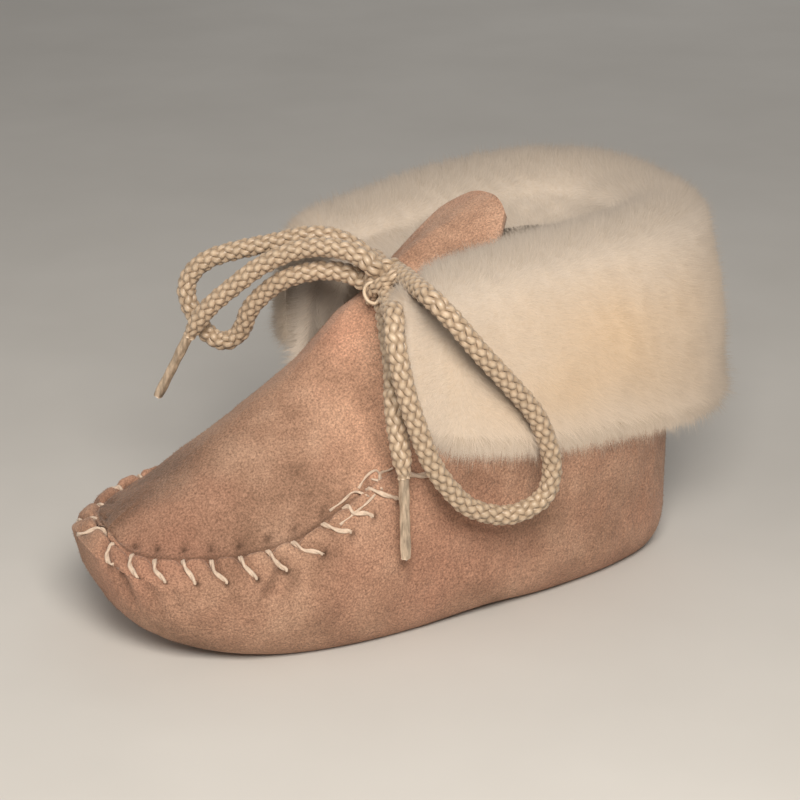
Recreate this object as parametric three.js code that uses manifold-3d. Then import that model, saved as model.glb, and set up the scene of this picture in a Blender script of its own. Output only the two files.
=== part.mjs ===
// A baby's sheepskin bootie of moccasin make. One hide wraps the foot as sole, sides, heel and
// quarters. A second hide, the plug, is sewn into its edge from throat to toe to throat and runs up
// as the tongue. The collar is turned down as a fleece cuff, and a braided lace ties in a bow.
import * as THREE from "three";
import { mergeVertices } from "three/addons/utils/BufferGeometryUtils.js";
import Module from "manifold-3d";

const wasm = await Module();
wasm.setup();

// Driving dimensions in millimetres. +X points to the toe, +Y to the left of the foot and +Z up.
const LENGTH = 125; // outside, heel to toe
const BALL_WIDTH = 60; // outside, across the ball
const HIDE = 2; // suede with its skin side
const PILE = 8; // fleece on the outside of the cuff
const LINING = 5; // fleece inside the collar
const FIT = 0.3; // gap between pieces that meet
const SLOT = 0.6; // gap between the quarters and the cuff folded over them

// The sole: flat under heel and ball, lifted a little at the waist and sprung at the toe.
const ARCH_RISE = 0.8;
const ARCH_FROM = -26;
const ARCH_TO = 6;
const SPRING_FROM = 26;
const SPRING_RISE = 2.4;

// Half-lengths of the wrap's outlines: where the tread, the widest line and the top edge end at the toe
// and at the heel, and where the line down the middle of the sole stops.
const TOE_END = { spine: 34, tread: 48, widest: LENGTH / 2, edge: 60 };
const HEEL_END = { spine: 40, tread: 58, widest: LENGTH / 2, edge: 59 };
const TOE_ROUND = 0.85; // 1 is an ellipse in plan, less is squarer
const HEEL_ROUND = 0.72;

// Ribs of the wrap by their turn in degrees from the toe round to the heel. Tread and widest are shares
// of half the ball width before the outline's rounding. Roll is the height of the widest line.
const RIBS = [
  { turn: 0, tread: 0.95, widest: 1.08, roll: 21 },
  { turn: 30, tread: 0.9, widest: 1.04, roll: 18 },
  { turn: 50, tread: 0.86, widest: 1.01, roll: 15 },
  { turn: 73, tread: 0.83, widest: 0.99, roll: 12.5 },
  { turn: 90, tread: 0.79, widest: 0.96, roll: 11 },
  { turn: 110, tread: 0.77, widest: 0.94, roll: 10 },
  { turn: 130, tread: 0.79, widest: 0.95, roll: 9.5 },
  { turn: 150, tread: 0.86, widest: 0.98, roll: 9 },
  { turn: 180, tread: 0.9, widest: 1.0, roll: 9 },
];
const SIDE_LEAN = 1.8; // how late the side turns in towards its edge

// The wrap's top edge: the seam with the plug from the toe to the throat, then the collar line.
const THROAT_TURN = 85;
const COLLAR_TURN = 88.5;
const SEAM = [
  { turn: 0, side: 0.82, height: 24.5 },
  { turn: 30, side: 0.82, height: 23 },
  { turn: 50, side: 0.82, height: 21.8 },
  { turn: 65, side: 0.81, height: 23.4 },
  { turn: 75, side: 0.8, height: 28 },
  { turn: THROAT_TURN, side: 0.8, height: 33 },
];
const COLLAR = [
  { turn: THROAT_TURN, side: 0.7, height: 64 },
  { turn: 92, side: 0.71, height: 66 },
  { turn: 110, side: 0.77, height: 69 },
  { turn: 140, side: 0.9, height: 70 },
  { turn: 180, side: 0.95, height: 70 },
];

// The raised seam down the back of the heel, and the lace hole behind each quarter's front edge.
const BACK_SEAM_RISE = 0.9;
const HOLE = { turn: 92.2, height: 57.5, radius: 2.6 };

// The plug: its ridge over the sewn part by turn, and how roundly its sides fall to the seam.
const PLUG_FRONT_TURN = 8;
const RIDGE = [
  { turn: PLUG_FRONT_TURN, x: 57.2, height: 24.2, bow: 2 },
  { turn: 30, x: 48.5, height: 28.5, bow: 2 },
  { turn: 50, x: 37, height: 36.3, bow: 1.9 },
  { turn: 68, x: 20, height: 46.5, bow: 1.7 },
  { turn: THROAT_TURN, x: 6, height: 58.8, bow: 1.5 },
];

// The tongue above the throat: its ridge, and its free edge at each side.
const TONGUE = [
  { place: 1, x: -1.5, height: 63.7, bow: 1.5, edgeX: 1, edgeY: 17, edgeHeight: 44 },
  { place: 2, x: -8, height: 68.6, bow: 1.5, edgeX: -5, edgeY: 14, edgeHeight: 56 },
  { place: 3, x: -15.5, height: 71.8, bow: 1.6, edgeX: -12, edgeY: 12.5, edgeHeight: 64 },
  { place: 4, x: -21.5, height: 75, bow: 1.8, edgeX: -19.5, edgeY: 11, edgeHeight: 71 },
  { place: 5, x: -25, height: 76.4, bow: 2, edgeX: -24, edgeY: 6.5, edgeHeight: 75 },
];

// The cuff by turn: hem height, how far the flap's middle stands off the wall, the pile's share and the
// depth of the fleece lip inside the collar.
const CUFF_FRONT_TURN = 86;
const CUFF_LOFT = 6.5;
const CUFF = [
  { turn: CUFF_FRONT_TURN, hem: 42, flare: 0.5, pile: 0.6, lip: 2 },
  { turn: 90.5, hem: 39.5, flare: 1, pile: 0.92, lip: 2.5 },
  { turn: 98, hem: 37.5, flare: 1.5, pile: 1, lip: 8 },
  { turn: 115, hem: 36.5, flare: 2, pile: 1, lip: 8 },
  { turn: 150, hem: 33.5, flare: 3, pile: 1.05, lip: 8 },
  { turn: 180, hem: 30.5, flare: 3.5, pile: 1.05, lip: 8 },
];
const LOCK = { radius: 3.4, length: 5.2, sunk: 2.7, sides: 5 };

// The lace: a round braid, its end tips, and the ways of its strands.
const LACE = 4;
const TIP = 2.6;
const KNOT = { x: 1.4, y: 5.5, height: 65, length: 10, width: 9, depth: 8.4 };
const NEAR_BAR_WAY = [{ x: -3, y: 11, height: 61.8 }];
const FAR_BAR_WAY = [
  { x: -0.4, y: -0.5, height: 65.6 },
  { x: -2.4, y: -6.5, height: 64.7 },
  { x: -3.8, y: -11.5, height: 61.6 },
];
const NEAR_LOOP_WAY = [
  { x: 0.5, y: 9.0, height: 66.9 },
  { x: 3.7, y: 21.0, height: 68.8 },
  { x: 5.5, y: 30.5, height: 69.5 },
  { x: 2.7, y: 34.0, height: 65.7 },
  { x: -1.7, y: 35.5, height: 59.7 },
  { x: -7.9, y: 36.0, height: 52.3 },
  { x: -13.2, y: 36.5, height: 45.5 },
  { x: -16.2, y: 36.5, height: 38.8 },
  { x: -17.4, y: 36.3, height: 33.3 },
  { x: -16.3, y: 36.0, height: 28.3 },
  { x: -12.2, y: 35.5, height: 25.8 },
  { x: -7.1, y: 35.0, height: 25.6 },
  { x: -0.8, y: 34.5, height: 28.4 },
  { x: 3.3, y: 34.0, height: 32.8 },
  { x: 7.0, y: 33.8, height: 38.6 },
  { x: 9.8, y: 33.5, height: 46.0 },
  { x: 11.6, y: 33.0, height: 52.0 },
  { x: 12.8, y: 32.5, height: 57.9 },
  { x: 13.1, y: 31.0, height: 63.1 },
  { x: 10.8, y: 26.0, height: 66.4 },
  { x: 6.8, y: 17.5, height: 63.7 },
];
const NEAR_END_WAY = [
  { x: 2.6, y: 7.0, height: 61.0 },
  { x: 6.1, y: 15.0, height: 58.8 },
  { x: 9.3, y: 23.0, height: 54.8 },
  { x: 11.3, y: 27.0, height: 49.7 },
  { x: 11.6, y: 28.5, height: 45.4 },
  { x: 11.4, y: 30.0, height: 40.0 },
  { x: 11.2, y: 30.8, height: 35.6 },
];
const NEAR_TIP_WAY = [
  { x: 11.2, y: 30.8, height: 35.2 },
  { x: 11.3, y: 31.5, height: 19.5 },
];
const FAR_LOOP_WAY = [
  { x: 3.4, y: 1.1, height: 68.5 },
  { x: 6.4, y: -3.9, height: 70.8 },
  { x: 10.6, y: -8.4, height: 70.9 },
  { x: 15.5, y: -13.6, height: 68.7 },
  { x: 20.6, y: -18.9, height: 66.5 },
  { x: 25.1, y: -23.3, height: 64.0 },
  { x: 27.8, y: -26.1, height: 60.5 },
  { x: 28.7, y: -26.8, height: 56.5 },
  { x: 27.7, y: -25.6, height: 52.0 },
  { x: 25.6, y: -23.3, height: 48.2 },
  { x: 23.2, y: -20.9, height: 47.3 },
  { x: 20.9, y: -18.7, height: 49.7 },
  { x: 19.8, y: -16.2, height: 55.0 },
  { x: 17.5, y: -13.1, height: 59.3 },
  { x: 14.8, y: -8.8, height: 62.9 },
  { x: 10.5, y: -4.2, height: 65.0 },
  { x: 6.8, y: -0.2, height: 65.1 },
  { x: 4.2, y: 2.6, height: 63.9 },
];
const FAR_END_WAY = [
  { x: 4.7, y: 6.8, height: 68.1 },
  { x: 7.2, y: 3.9, height: 70.4 },
  { x: 10.8, y: -1.4, height: 70.6 },
  { x: 14.7, y: -6.5, height: 69.0 },
  { x: 19.4, y: -11.4, height: 65.3 },
  { x: 23.4, y: -15.5, height: 60.6 },
  { x: 27.2, y: -19.2, height: 55.7 },
  { x: 29.4, y: -21.4, height: 51.4 },
  { x: 30.4, y: -22.3, height: 49.1 },
];
const FAR_TIP_WAY = [
  { x: 30.7, y: -22.6, height: 48.5 },
  { x: 35.7, y: -27.1, height: 35.7 },
];

const SOLE_STEPS = 3;
const ROLL_STEPS = 4;
const SIDE_STEPS = 6;
const PLUG_STEPS = 12;

const mix = THREE.MathUtils.lerp;
const radians = THREE.MathUtils.degToRad;
const smooth = (value, from, to) => THREE.MathUtils.smoothstep(value, from, to);
const spaced = (from, to, steps) => Array.from({ length: steps + 1 }, (_, i) => mix(from, to, i / steps));

// Reads every column of a table at a place, by a cubic that never overshoots its rows.
function readTable(rows, by, at) {
  const last = rows.length - 1;
  const place = THREE.MathUtils.clamp(at, rows[0][by], rows[last][by]);
  let i = 0;
  while (i < last - 1 && place > rows[i + 1][by]) i += 1;
  const span = rows[i + 1][by] - rows[i][by];
  const t = (place - rows[i][by]) / span;
  const read = {};
  for (const column of Object.keys(rows[0])) {
    const rise = (k) => (rows[k + 1][column] - rows[k][column]) / (rows[k + 1][by] - rows[k][by]);
    const slope = (k) => {
      if (k === 0 || k === last || rise(k - 1) * rise(k) <= 0) return 0;
      return (2 * rise(k - 1) * rise(k)) / (rise(k - 1) + rise(k));
    };
    const [a, b] = [rows[i][column], rows[i + 1][column]];
    read[column] =
      a * (1 + 2 * t) * (1 - t) ** 2 +
      b * (3 - 2 * t) * t * t +
      span * (slope(i) * t * (1 - t) ** 2 - slope(i + 1) * t * t * (1 - t));
  }
  read[by] = place;
  return read;
}

// Height of the sole's underside at a place along the foot.
function soleHeight(x) {
  const waist = THREE.MathUtils.clamp((x - ARCH_FROM) / (ARCH_TO - ARCH_FROM), 0, 1);
  const spring = Math.max(0, (x - SPRING_FROM) / (TOE_END.tread - SPRING_FROM));
  return ARCH_RISE * Math.sin(Math.PI * waist) ** 2 + SPRING_RISE * spring ** 2;
}

// The four guide points of a rib. Turns past 180 degrees are the right side's, mirrored. The cuff's ribs
// end on the collar line even in front of the quarter's own edge.
function rib(turn, forCuff = false) {
  const left = turn <= 180;
  const own = left ? turn : 360 - turn;
  const turned = Math.cos(radians(own));
  const ends = turned > 0 ? TOE_END : HEEL_END;
  const round = turned > 0 ? TOE_ROUND : HEEL_ROUND;
  const cosine = Math.sign(turned) * Math.abs(turned) ** round;
  const sine = Math.sin(radians(own)) ** round * (left ? 1 : -1);
  const row = readTable(RIBS, "turn", own);
  const seam = readTable(SEAM, "turn", own);
  const collar = readTable(COLLAR, "turn", own);
  const climb = forCuff ? 1 : smooth(own, THROAT_TURN, COLLAR_TURN);
  const half = (sine * BALL_WIDTH) / 2;
  const spineX = ends.spine * cosine;
  const treadX = ends.tread * cosine;
  return {
    spine: new THREE.Vector3(spineX, 0, soleHeight(spineX)),
    tread: new THREE.Vector3(treadX, half * row.tread, soleHeight(treadX)),
    widest: new THREE.Vector3(ends.widest * cosine, half * row.widest, row.roll),
    edge: new THREE.Vector3(
      ends.edge * cosine,
      half * mix(seam.side, collar.side, climb),
      mix(seam.height, collar.height, climb),
    ),
  };
}

// The point of a rib's side, from the widest line at 0 to the top edge at 1.
function sidePoint(guides, share) {
  const point = guides.widest.clone().lerp(guides.edge, share ** SIDE_LEAN);
  point.z = mix(guides.widest.z, guides.edge.z, share);
  return point;
}

// The outside of one rib, from the middle of the sole round the roll and up the side.
function ribProfile(turn) {
  const guides = rib(turn);
  const points = [];
  for (let i = 0; i < SOLE_STEPS; i += 1) {
    const point = guides.spine.clone().lerp(guides.tread, i / SOLE_STEPS);
    point.z = soleHeight(point.x);
    points.push(point);
  }
  for (let i = 0; i < ROLL_STEPS; i += 1) {
    const angle = radians((90 * i) / ROLL_STEPS);
    const point = guides.tread.clone().lerp(guides.widest, Math.sin(angle));
    point.z = mix(guides.tread.z, guides.widest.z, 1 - Math.cos(angle));
    points.push(point);
  }
  for (let i = 0; i <= SIDE_STEPS; i += 1) points.push(sidePoint(guides, i / SIDE_STEPS));
  const seam = 1 - smooth(Math.abs(turn - 180), 0.9, 2.4);
  for (const point of points.slice(SOLE_STEPS + ROLL_STEPS - 1)) {
    point.x -= BACK_SEAM_RISE * seam * (1 - smooth(point.z, 20, 28));
  }
  return points;
}

// A closed mesh from a list of four-sided faces, each given by its corner points.
function solidFromQuads(quads) {
  const corners = [];
  for (const [a, b, c, d] of quads) corners.push(a, b, c, a, c, d);
  const flat = new THREE.BufferGeometry().setFromPoints(corners);
  const merged = mergeVertices(flat, 1e-3);
  const index = merged.index.array;
  const kept = [];
  for (let i = 0; i < index.length; i += 3) {
    const [a, b, c] = [index[i], index[i + 1], index[i + 2]];
    if (a !== b && b !== c && a !== c) kept.push(a, b, c);
  }
  merged.setIndex(kept);
  return merged;
}

// A mesh as a solid that can be joined and cut, and back again.
function toSolid(geometry) {
  const bare = new THREE.BufferGeometry().setAttribute("position", geometry.getAttribute("position"));
  const merged = mergeVertices(geometry.index ? bare.setIndex(geometry.index) : bare, 1e-3);
  const vertProperties = new Float32Array(merged.attributes.position.array);
  return new wasm.Manifold(
    new wasm.Mesh({ numProp: 3, vertProperties, triVerts: new Uint32Array(merged.index.array) }),
  );
}

function toGeometry(solid) {
  const mesh = solid.getMesh();
  const geometry = new THREE.BufferGeometry();
  geometry.setAttribute("position", new THREE.Float32BufferAttribute(mesh.vertProperties, 3));
  geometry.setIndex(Array.from(mesh.triVerts));
  return geometry;
}

// Faces between two neighbouring rows of points, and the same faces turned over.
function strip(rowA, rowB) {
  return rowA.slice(1).map((_, j) => [rowA[j], rowB[j], rowB[j + 1], rowA[j + 1]]);
}

const reversed = (quads) => quads.map((quad) => [...quad].reverse());

// Rows moved inwards by a wall's thickness, along the normals of the surface that they span.
function offsetRows(rows, distance, closed) {
  const count = rows.length;
  return rows.map((row, i) => {
    const before = closed ? rows[(i + count - 1) % count] : rows[Math.max(i - 1, 0)];
    const after = closed ? rows[(i + 1) % count] : rows[Math.min(i + 1, count - 1)];
    return row.map((point, j) => {
      const across = after[j].clone().sub(before[j]);
      const along = row[Math.min(j + 1, row.length - 1)].clone().sub(row[Math.max(j - 1, 0)]);
      return point.clone().addScaledVector(along.cross(across).normalize(), distance);
    });
  });
}

// The wrap: ribs right round the foot, with an inner wall and a rim along the top edge.
const RIB_TURNS = [
  ...spaced(0, THROAT_TURN, 17),
  ...spaced(THROAT_TURN, COLLAR_TURN, 5).slice(1),
  ...spaced(COLLAR_TURN, 177, 12).slice(1),
  178.4,
  180,
];

// A plug through a quarter where the lace hole goes.
function holeCutter(side) {
  const wall = wallFrame(HOLE.turn, HOLE.height);
  const cutter = new THREE.CylinderGeometry(HOLE.radius, HOLE.radius, 5 * HIDE, 12);
  const turnOut = new THREE.Quaternion().setFromUnitVectors(new THREE.Vector3(0, 1, 0), wall.out);
  cutter.applyQuaternion(turnOut);
  cutter.translate(wall.point.x, wall.point.y, wall.point.z);
  const solid = toSolid(cutter);
  return side > 0 ? solid : solid.mirror([0, 1, 0]);
}

function makeWrap() {
  const turns = [...RIB_TURNS, ...RIB_TURNS.slice(1, -1).reverse().map((turn) => 360 - turn)];
  const outer = turns.map((turn) => ribProfile(turn));
  const inner = offsetRows(outer, HIDE, true);
  const count = outer.length;
  // The two halves share the line down the middle of the sole.
  inner.forEach((row, i) => {
    const twin = inner[(count - i) % count];
    row[0].lerp(twin[0], 0.5).setY(0);
    if (i > count / 2) row[0].copy(twin[0]);
  });
  const quads = outer.flatMap((row, i) => {
    const next = (i + 1) % count;
    const top = row.length - 1;
    return [
      ...strip(row, outer[next]),
      ...reversed(strip(inner[i], inner[next])),
      [row[top], outer[next][top], inner[next][top], inner[i][top]],
    ];
  });
  const wrap = toSolid(solidFromQuads(quads));
  return wrap.subtract(holeCutter(1)).subtract(holeCutter(-1));
}

// A point of the quarter's outside at a height, with the level direction that points out of it.
function wallFrame(turn, height) {
  const guides = rib(turn, true);
  const share = THREE.MathUtils.clamp((height - guides.widest.z) / (guides.edge.z - guides.widest.z), 0, 1);
  const point = sidePoint(guides, share).setZ(height);
  const along = sidePoint(rib(turn + 0.4, true), share).sub(sidePoint(rib(turn - 0.4, true), share));
  const out = new THREE.Vector3(along.y, -along.x, 0).normalize();
  return { point, out, edge: guides.edge.z };
}

// A row of the plug: an arch from the ridge down to the edge at each side.
function plugRow(ridge, edge) {
  return spaced(-1, 1, PLUG_STEPS).map((across) => {
    const fall = Math.abs(across) ** ridge.bow;
    return new THREE.Vector3(
      mix(ridge.x, edge.x, across * across),
      edge.y * across,
      mix(ridge.height, edge.z, fall),
    );
  });
}

// The plug with its tongue: sewn rows follow the inside of the wrap's edge, then the tongue's rows.
function makePlug() {
  const sewn = spaced(PLUG_FRONT_TURN, THROAT_TURN, 16).map((turn) => {
    const guides = rib(turn);
    const along = rib(turn + 0.4).edge.sub(rib(turn - 0.4).edge);
    const out = new THREE.Vector3(along.y, -along.x, 0).normalize();
    const edge = guides.edge.clone().addScaledVector(out, -HIDE);
    return plugRow(readTable(RIDGE, "turn", turn), edge.setZ(edge.z - FIT));
  });
  const tongue = spaced(TONGUE[0].place, TONGUE[TONGUE.length - 1].place, 8).map((place) => {
    const row = readTable(TONGUE, "place", place);
    return plugRow(row, new THREE.Vector3(row.edgeX, row.edgeY, row.edgeHeight));
  });
  const outer = [...sewn, ...tongue];
  const inner = offsetRows(outer, -HIDE, false);
  const last = outer.length - 1;
  const quads = [];
  for (let i = 0; i < last; i += 1) {
    quads.push(...reversed(strip(outer[i], outer[i + 1])), ...strip(inner[i], inner[i + 1]));
    for (const [j, turned] of [[0, false], [PLUG_STEPS, true]]) {
      const side = [outer[i][j], outer[i + 1][j], inner[i + 1][j], inner[i][j]];
      quads.push(turned ? side.reverse() : side);
    }
  }
  quads.push(...strip(outer[0], inner[0]), ...reversed(strip(outer[last], inner[last])));
  return toSolid(solidFromQuads(quads));
}

// Rises from the fold to the flap's belly and falls part of the way back to the hem.
const bellied = (share) => Math.sin(2.5 * THREE.MathUtils.clamp(share, 0, 1) ** 0.8);

// One section of the cuff: up the inside of the flap, over the quarter's edge, down behind the fleece
// lip, and back over the top and down the outside of the pile.
function cuffSection(turn) {
  const own = turn <= 180 ? turn : 360 - turn;
  const size = readTable(CUFF, "turn", own);
  const top = wallFrame(own, 0).edge;
  const pile = PILE * size.pile;
  const lining = LINING * size.pile;
  const inside = -(HIDE + SLOT);
  const standOff = (height) => SLOT + size.flare * bellied((top - height) / (top - size.hem));
  const section = [];
  for (const height of spaced(size.hem + 1, top + SLOT, 5)) section.push([standOff(height), height]);
  section.push([inside, top + SLOT], [inside, top - size.lip]);
  section.push([inside - 0.5 * lining, top - size.lip - 1.5], [inside - lining, top - size.lip + 0.5]);
  for (const angle of spaced(180, 20, 7)) {
    const reach = (lining - inside + pile + SLOT) / 2;
    const middle = (pile + SLOT + inside - lining) / 2;
    const rise = CUFF_LOFT * (0.5 + 0.5 * size.pile);
    const turned = radians(angle);
    section.push([middle + reach * Math.cos(turned), top + rise * Math.sin(turned)]);
  }
  for (const height of spaced(top - 4, size.hem + 3, 4)) {
    const fullness = 0.9 + 0.1 * Math.sin((Math.PI * (top - height)) / (top - size.hem));
    section.push([standOff(height) + pile * fullness, height]);
  }
  section.push([standOff(size.hem) + 0.75 * pile, size.hem], [standOff(size.hem) + 0.3 * pile, size.hem - 0.4]);
  return section.map(([out, height]) => {
    const wall = wallFrame(own, height);
    const point = wall.point.addScaledVector(wall.out, out);
    return turn <= 180 ? point : point.setY(-point.y);
  });
}

// A lock of fleece: a short cone that lies along the nap, its root sunk in the pile.
function lock(turn, share) {
  const own = turn <= 180 ? turn : 360 - turn;
  const size = readTable(CUFF, "turn", own);
  const top = wallFrame(own, 0).edge;
  const height = mix(size.hem + 1.5, top - 3, share);
  const wall = wallFrame(own, height);
  const reach = FIT + size.flare * bellied((top - height) / (top - size.hem)) + PILE * size.pile - LOCK.sunk;
  const root = wall.point.addScaledVector(wall.out, reach);
  const nap = wall.out.clone().multiplyScalar(mix(0.75, 1.3, share));
  nap.z = mix(-1, 0.35, share);
  const cone = new THREE.ConeGeometry(LOCK.radius, LOCK.length, LOCK.sides);
  cone.translate(0, LOCK.length / 2, 0);
  cone.applyQuaternion(new THREE.Quaternion().setFromUnitVectors(new THREE.Vector3(0, 1, 0), nap.normalize()));
  cone.translate(root.x, root.y, root.z);
  const solid = toSolid(cone);
  return turn <= 180 ? solid : solid.mirror([0, 1, 0]);
}

// The cuff: sections from one front edge round the heel to the other, capped, with locks fused on. The
// pile gives way where the lace presses on it.
function makeCuff(pressedBy) {
  const half = [
    ...spaced(CUFF_FRONT_TURN, 92, 4),
    ...spaced(92, 180, 13).slice(1),
  ];
  const turns = [...half, ...half.slice(0, -1).reverse().map((turn) => 360 - turn)];
  const rows = turns.map(cuffSection).map((row) => [...row, row[0]]);
  const quads = rows.slice(1).flatMap((row, i) => strip(row, rows[i]));
  const last = rows.length - 1;
  const contour = cuffSection(CUFF_FRONT_TURN).map((point) => new THREE.Vector2(point.y, point.z));
  for (const [a, b, c] of THREE.ShapeUtils.triangulateShape(contour, [])) {
    quads.push([rows[0][a], rows[0][b], rows[0][c], rows[0][c]]);
    quads.push([rows[last][c], rows[last][b], rows[last][a], rows[last][a]]);
  }
  const locks = [];
  for (const [row, share] of [0, 0.42, 0.84].entries()) {
    const stagger = row % 2 ? 0.5 : 0;
    for (let i = 0; i < 11; i += 1) {
      const turn = mix(CUFF_FRONT_TURN + 1.2, 178, ((i + stagger) / 11) ** 1.25);
      locks.push(lock(turn, share), lock(360 - turn, share));
    }
  }
  return wasm.Manifold.union([toSolid(solidFromQuads(quads)), ...locks]).subtract(pressedBy);
}

// A round strand along a way of points.
const wayPoint = (row) => new THREE.Vector3(row.x, row.y, row.height);
const laceCentre = wayPoint(KNOT);

function strand(points, diameter, steps, sides = 8) {
  const outline = new THREE.Shape();
  for (let i = 0; i < sides; i += 1) {
    const angle = (2 * Math.PI * i) / sides;
    const corner = [(diameter / 2) * Math.cos(angle), (diameter / 2) * Math.sin(angle)];
    if (i === 0) outline.moveTo(...corner);
    else outline.lineTo(...corner);
  }
  const extrudePath = new THREE.CatmullRomCurve3(points, false, "centripetal");
  return toSolid(new THREE.ExtrudeGeometry(outline, { steps, extrudePath, curveSegments: 1 }));
}

// A loop of the bow leaves the knot and comes back to it.
const loopStrand = (way, diameter, steps) =>
  strand([laceCentre, ...way.map(wayPoint), laceCentre], diameter, steps);

// The knot: a ball drawn tight. Grown, it cuts back what leaves it.
function makeKnot(grown) {
  const ball = toSolid(new THREE.SphereGeometry(1, 12, 8));
  const size = [KNOT.length, KNOT.width, KNOT.depth].map((span) => span / 2 + grown);
  return ball.scale(size).translate([KNOT.x, KNOT.y, KNOT.height]);
}

// The way into a lace hole from inside the quarter, ending within the hide.
function holeWay(side) {
  const wall = wallFrame(HOLE.turn, HOLE.height);
  return [2.4 * HIDE, 1.4 * HIDE, 0.3 * HIDE].map((depth) => {
    const point = wall.point.clone().addScaledVector(wall.out, -depth);
    return point.setY(side * point.y);
  });
}

function makeLace() {
  const knot = makeKnot(0);
  const clear = makeKnot(FIT);
  const loop = (way, steps) => loopStrand(way, LACE, steps).subtract(clear);
  const end = (way, steps) => strand([laceCentre, ...way.map(wayPoint)], LACE, steps).subtract(clear);
  const bar = (way, side, steps) =>
    strand([laceCentre, ...way.map(wayPoint), ...holeWay(side)], LACE, steps).subtract(clear);
  const tip = (way) => strand(way.map(wayPoint), TIP, 3);
  return {
    lace_bar_near: bar(NEAR_BAR_WAY, 1, 7),
    lace_bar_far: bar(FAR_BAR_WAY, -1, 10).subtract(loopStrand(FAR_LOOP_WAY, LACE + 2 * FIT, 32)),
    lace_knot: knot,
    lace_loop_near: loop(NEAR_LOOP_WAY, 36),
    lace_loop_far: loop(FAR_LOOP_WAY, 32),
    lace_end_near: end(NEAR_END_WAY, 10),
    lace_end_far: end(FAR_END_WAY, 14),
    lace_tip_near: tip(NEAR_TIP_WAY),
    lace_tip_far: tip(FAR_TIP_WAY),
  };
}

// Colours and finishes.
const suede = () => new THREE.MeshStandardMaterial({ color: 0xb98c72, roughness: 0.95, metalness: 0 });
const fleece = () => new THREE.MeshStandardMaterial({ color: 0xe6d8bd, roughness: 1, metalness: 0 });
const braid = () => new THREE.MeshStandardMaterial({ color: 0xd6bf98, roughness: 0.7, metalness: 0 });
const film = () => new THREE.MeshStandardMaterial({ color: 0xcbb694, roughness: 0.35, metalness: 0 });

const lace = makeLace();
const pressing = loopStrand(NEAR_LOOP_WAY, LACE + 2 * FIT, 36);
const solids = { wrap: makeWrap(), plug: makePlug(), cuff: makeCuff(pressing), ...lace };
const finishes = { wrap: suede, plug: suede, cuff: fleece, lace_tip_near: film, lace_tip_far: film };

// The origin is under the middle of the box round what is not lace.
const boxes = [solids.wrap, solids.plug, solids.cuff].map((solid) => solid.boundingBox());
const middle = (axis) =>
  (Math.min(...boxes.map((box) => box.min[axis])) + Math.max(...boxes.map((box) => box.max[axis]))) / 2;
const floor = Math.min(...boxes.map((box) => box.min[2]));

const bootie = new THREE.Group();
bootie.name = "baby_bootie";
for (const [name, solid] of Object.entries(solids)) {
  const placed = solid.translate([-middle(0), -middle(1), -floor]);
  const mesh = new THREE.Mesh(toGeometry(placed), (finishes[name] ?? braid)());
  mesh.name = name;
  bootie.add(mesh);
}

export default bootie;
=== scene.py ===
import bpy
import numpy as np
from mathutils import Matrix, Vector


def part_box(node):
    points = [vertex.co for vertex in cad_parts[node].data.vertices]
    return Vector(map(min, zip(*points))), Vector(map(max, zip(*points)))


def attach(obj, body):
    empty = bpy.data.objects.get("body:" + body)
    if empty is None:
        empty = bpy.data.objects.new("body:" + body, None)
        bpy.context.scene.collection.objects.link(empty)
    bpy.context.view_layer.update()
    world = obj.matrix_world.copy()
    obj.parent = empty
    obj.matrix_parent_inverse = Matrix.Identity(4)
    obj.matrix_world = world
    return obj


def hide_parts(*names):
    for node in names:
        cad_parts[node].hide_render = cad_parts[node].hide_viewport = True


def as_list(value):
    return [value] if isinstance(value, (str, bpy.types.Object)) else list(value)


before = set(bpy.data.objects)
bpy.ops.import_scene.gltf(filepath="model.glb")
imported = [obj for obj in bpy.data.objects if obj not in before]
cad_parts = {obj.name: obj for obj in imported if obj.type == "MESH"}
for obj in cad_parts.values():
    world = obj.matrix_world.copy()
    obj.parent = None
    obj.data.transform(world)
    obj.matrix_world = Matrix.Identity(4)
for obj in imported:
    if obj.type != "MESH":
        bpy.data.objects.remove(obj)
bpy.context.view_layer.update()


# The wrap: one piece of tan sheepskin, suede side out, that is sole, sides, heel and quarters in one.
# It is cut flat and drawn up round the last. Its top edge is gathered into the seam with the plug,
# and a raised seam closes it at the back of the heel. Sizes are in millimetres, toe towards +X.
LENGTH = 125
BALL_WIDTH = 60
HIDE = 2
ARCH_RISE, ARCH_FROM, ARCH_TO = 0.8, -26, 6
SPRING_RISE, SPRING_FROM = 2.4, 26
TOE_END = {"spine": 34, "tread": 48, "widest": LENGTH / 2, "edge": 60}
HEEL_END = {"spine": 40, "tread": 58, "widest": LENGTH / 2, "edge": 59}
TOE_ROUND, HEEL_ROUND = 0.85, 0.72
SIDE_LEAN = 1.8
THROAT_TURN, COLLAR_TURN = 85, 88.5
BACK_SEAM_RISE = 0.9
# where the back seam fades out: turns from the heel, places up from the tread, and heights
BACK_SEAM_SIDES, BACK_SEAM_FOOT, BACK_SEAM_TOP = (0.9, 2.4), (1.5, 1.9), (24, 32)
# turn in degrees from the toe; share of half the width at the tread and the widest line; roll height
RIBS = [
    (0, 0.95, 1.08, 21),
    (30, 0.9, 1.04, 18),
    (50, 0.86, 1.01, 15),
    (73, 0.83, 0.99, 12.5),
    (90, 0.79, 0.96, 11),
    (110, 0.77, 0.94, 10),
    (130, 0.79, 0.95, 9.5),
    (150, 0.86, 0.98, 9),
    (180, 0.9, 1.0, 9),
]
# turn; share of half the width; height, along the seam and along the collar line
SEAM = [
    (0, 0.82, 24.5),
    (30, 0.82, 23),
    (50, 0.82, 21.8),
    (65, 0.81, 23.4),
    (75, 0.8, 28),
    (85, 0.8, 33),
]
COLLAR = [(85, 0.7, 64), (92, 0.71, 66), (110, 0.77, 69), (140, 0.9, 70), (180, 0.95, 70)]
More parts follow.
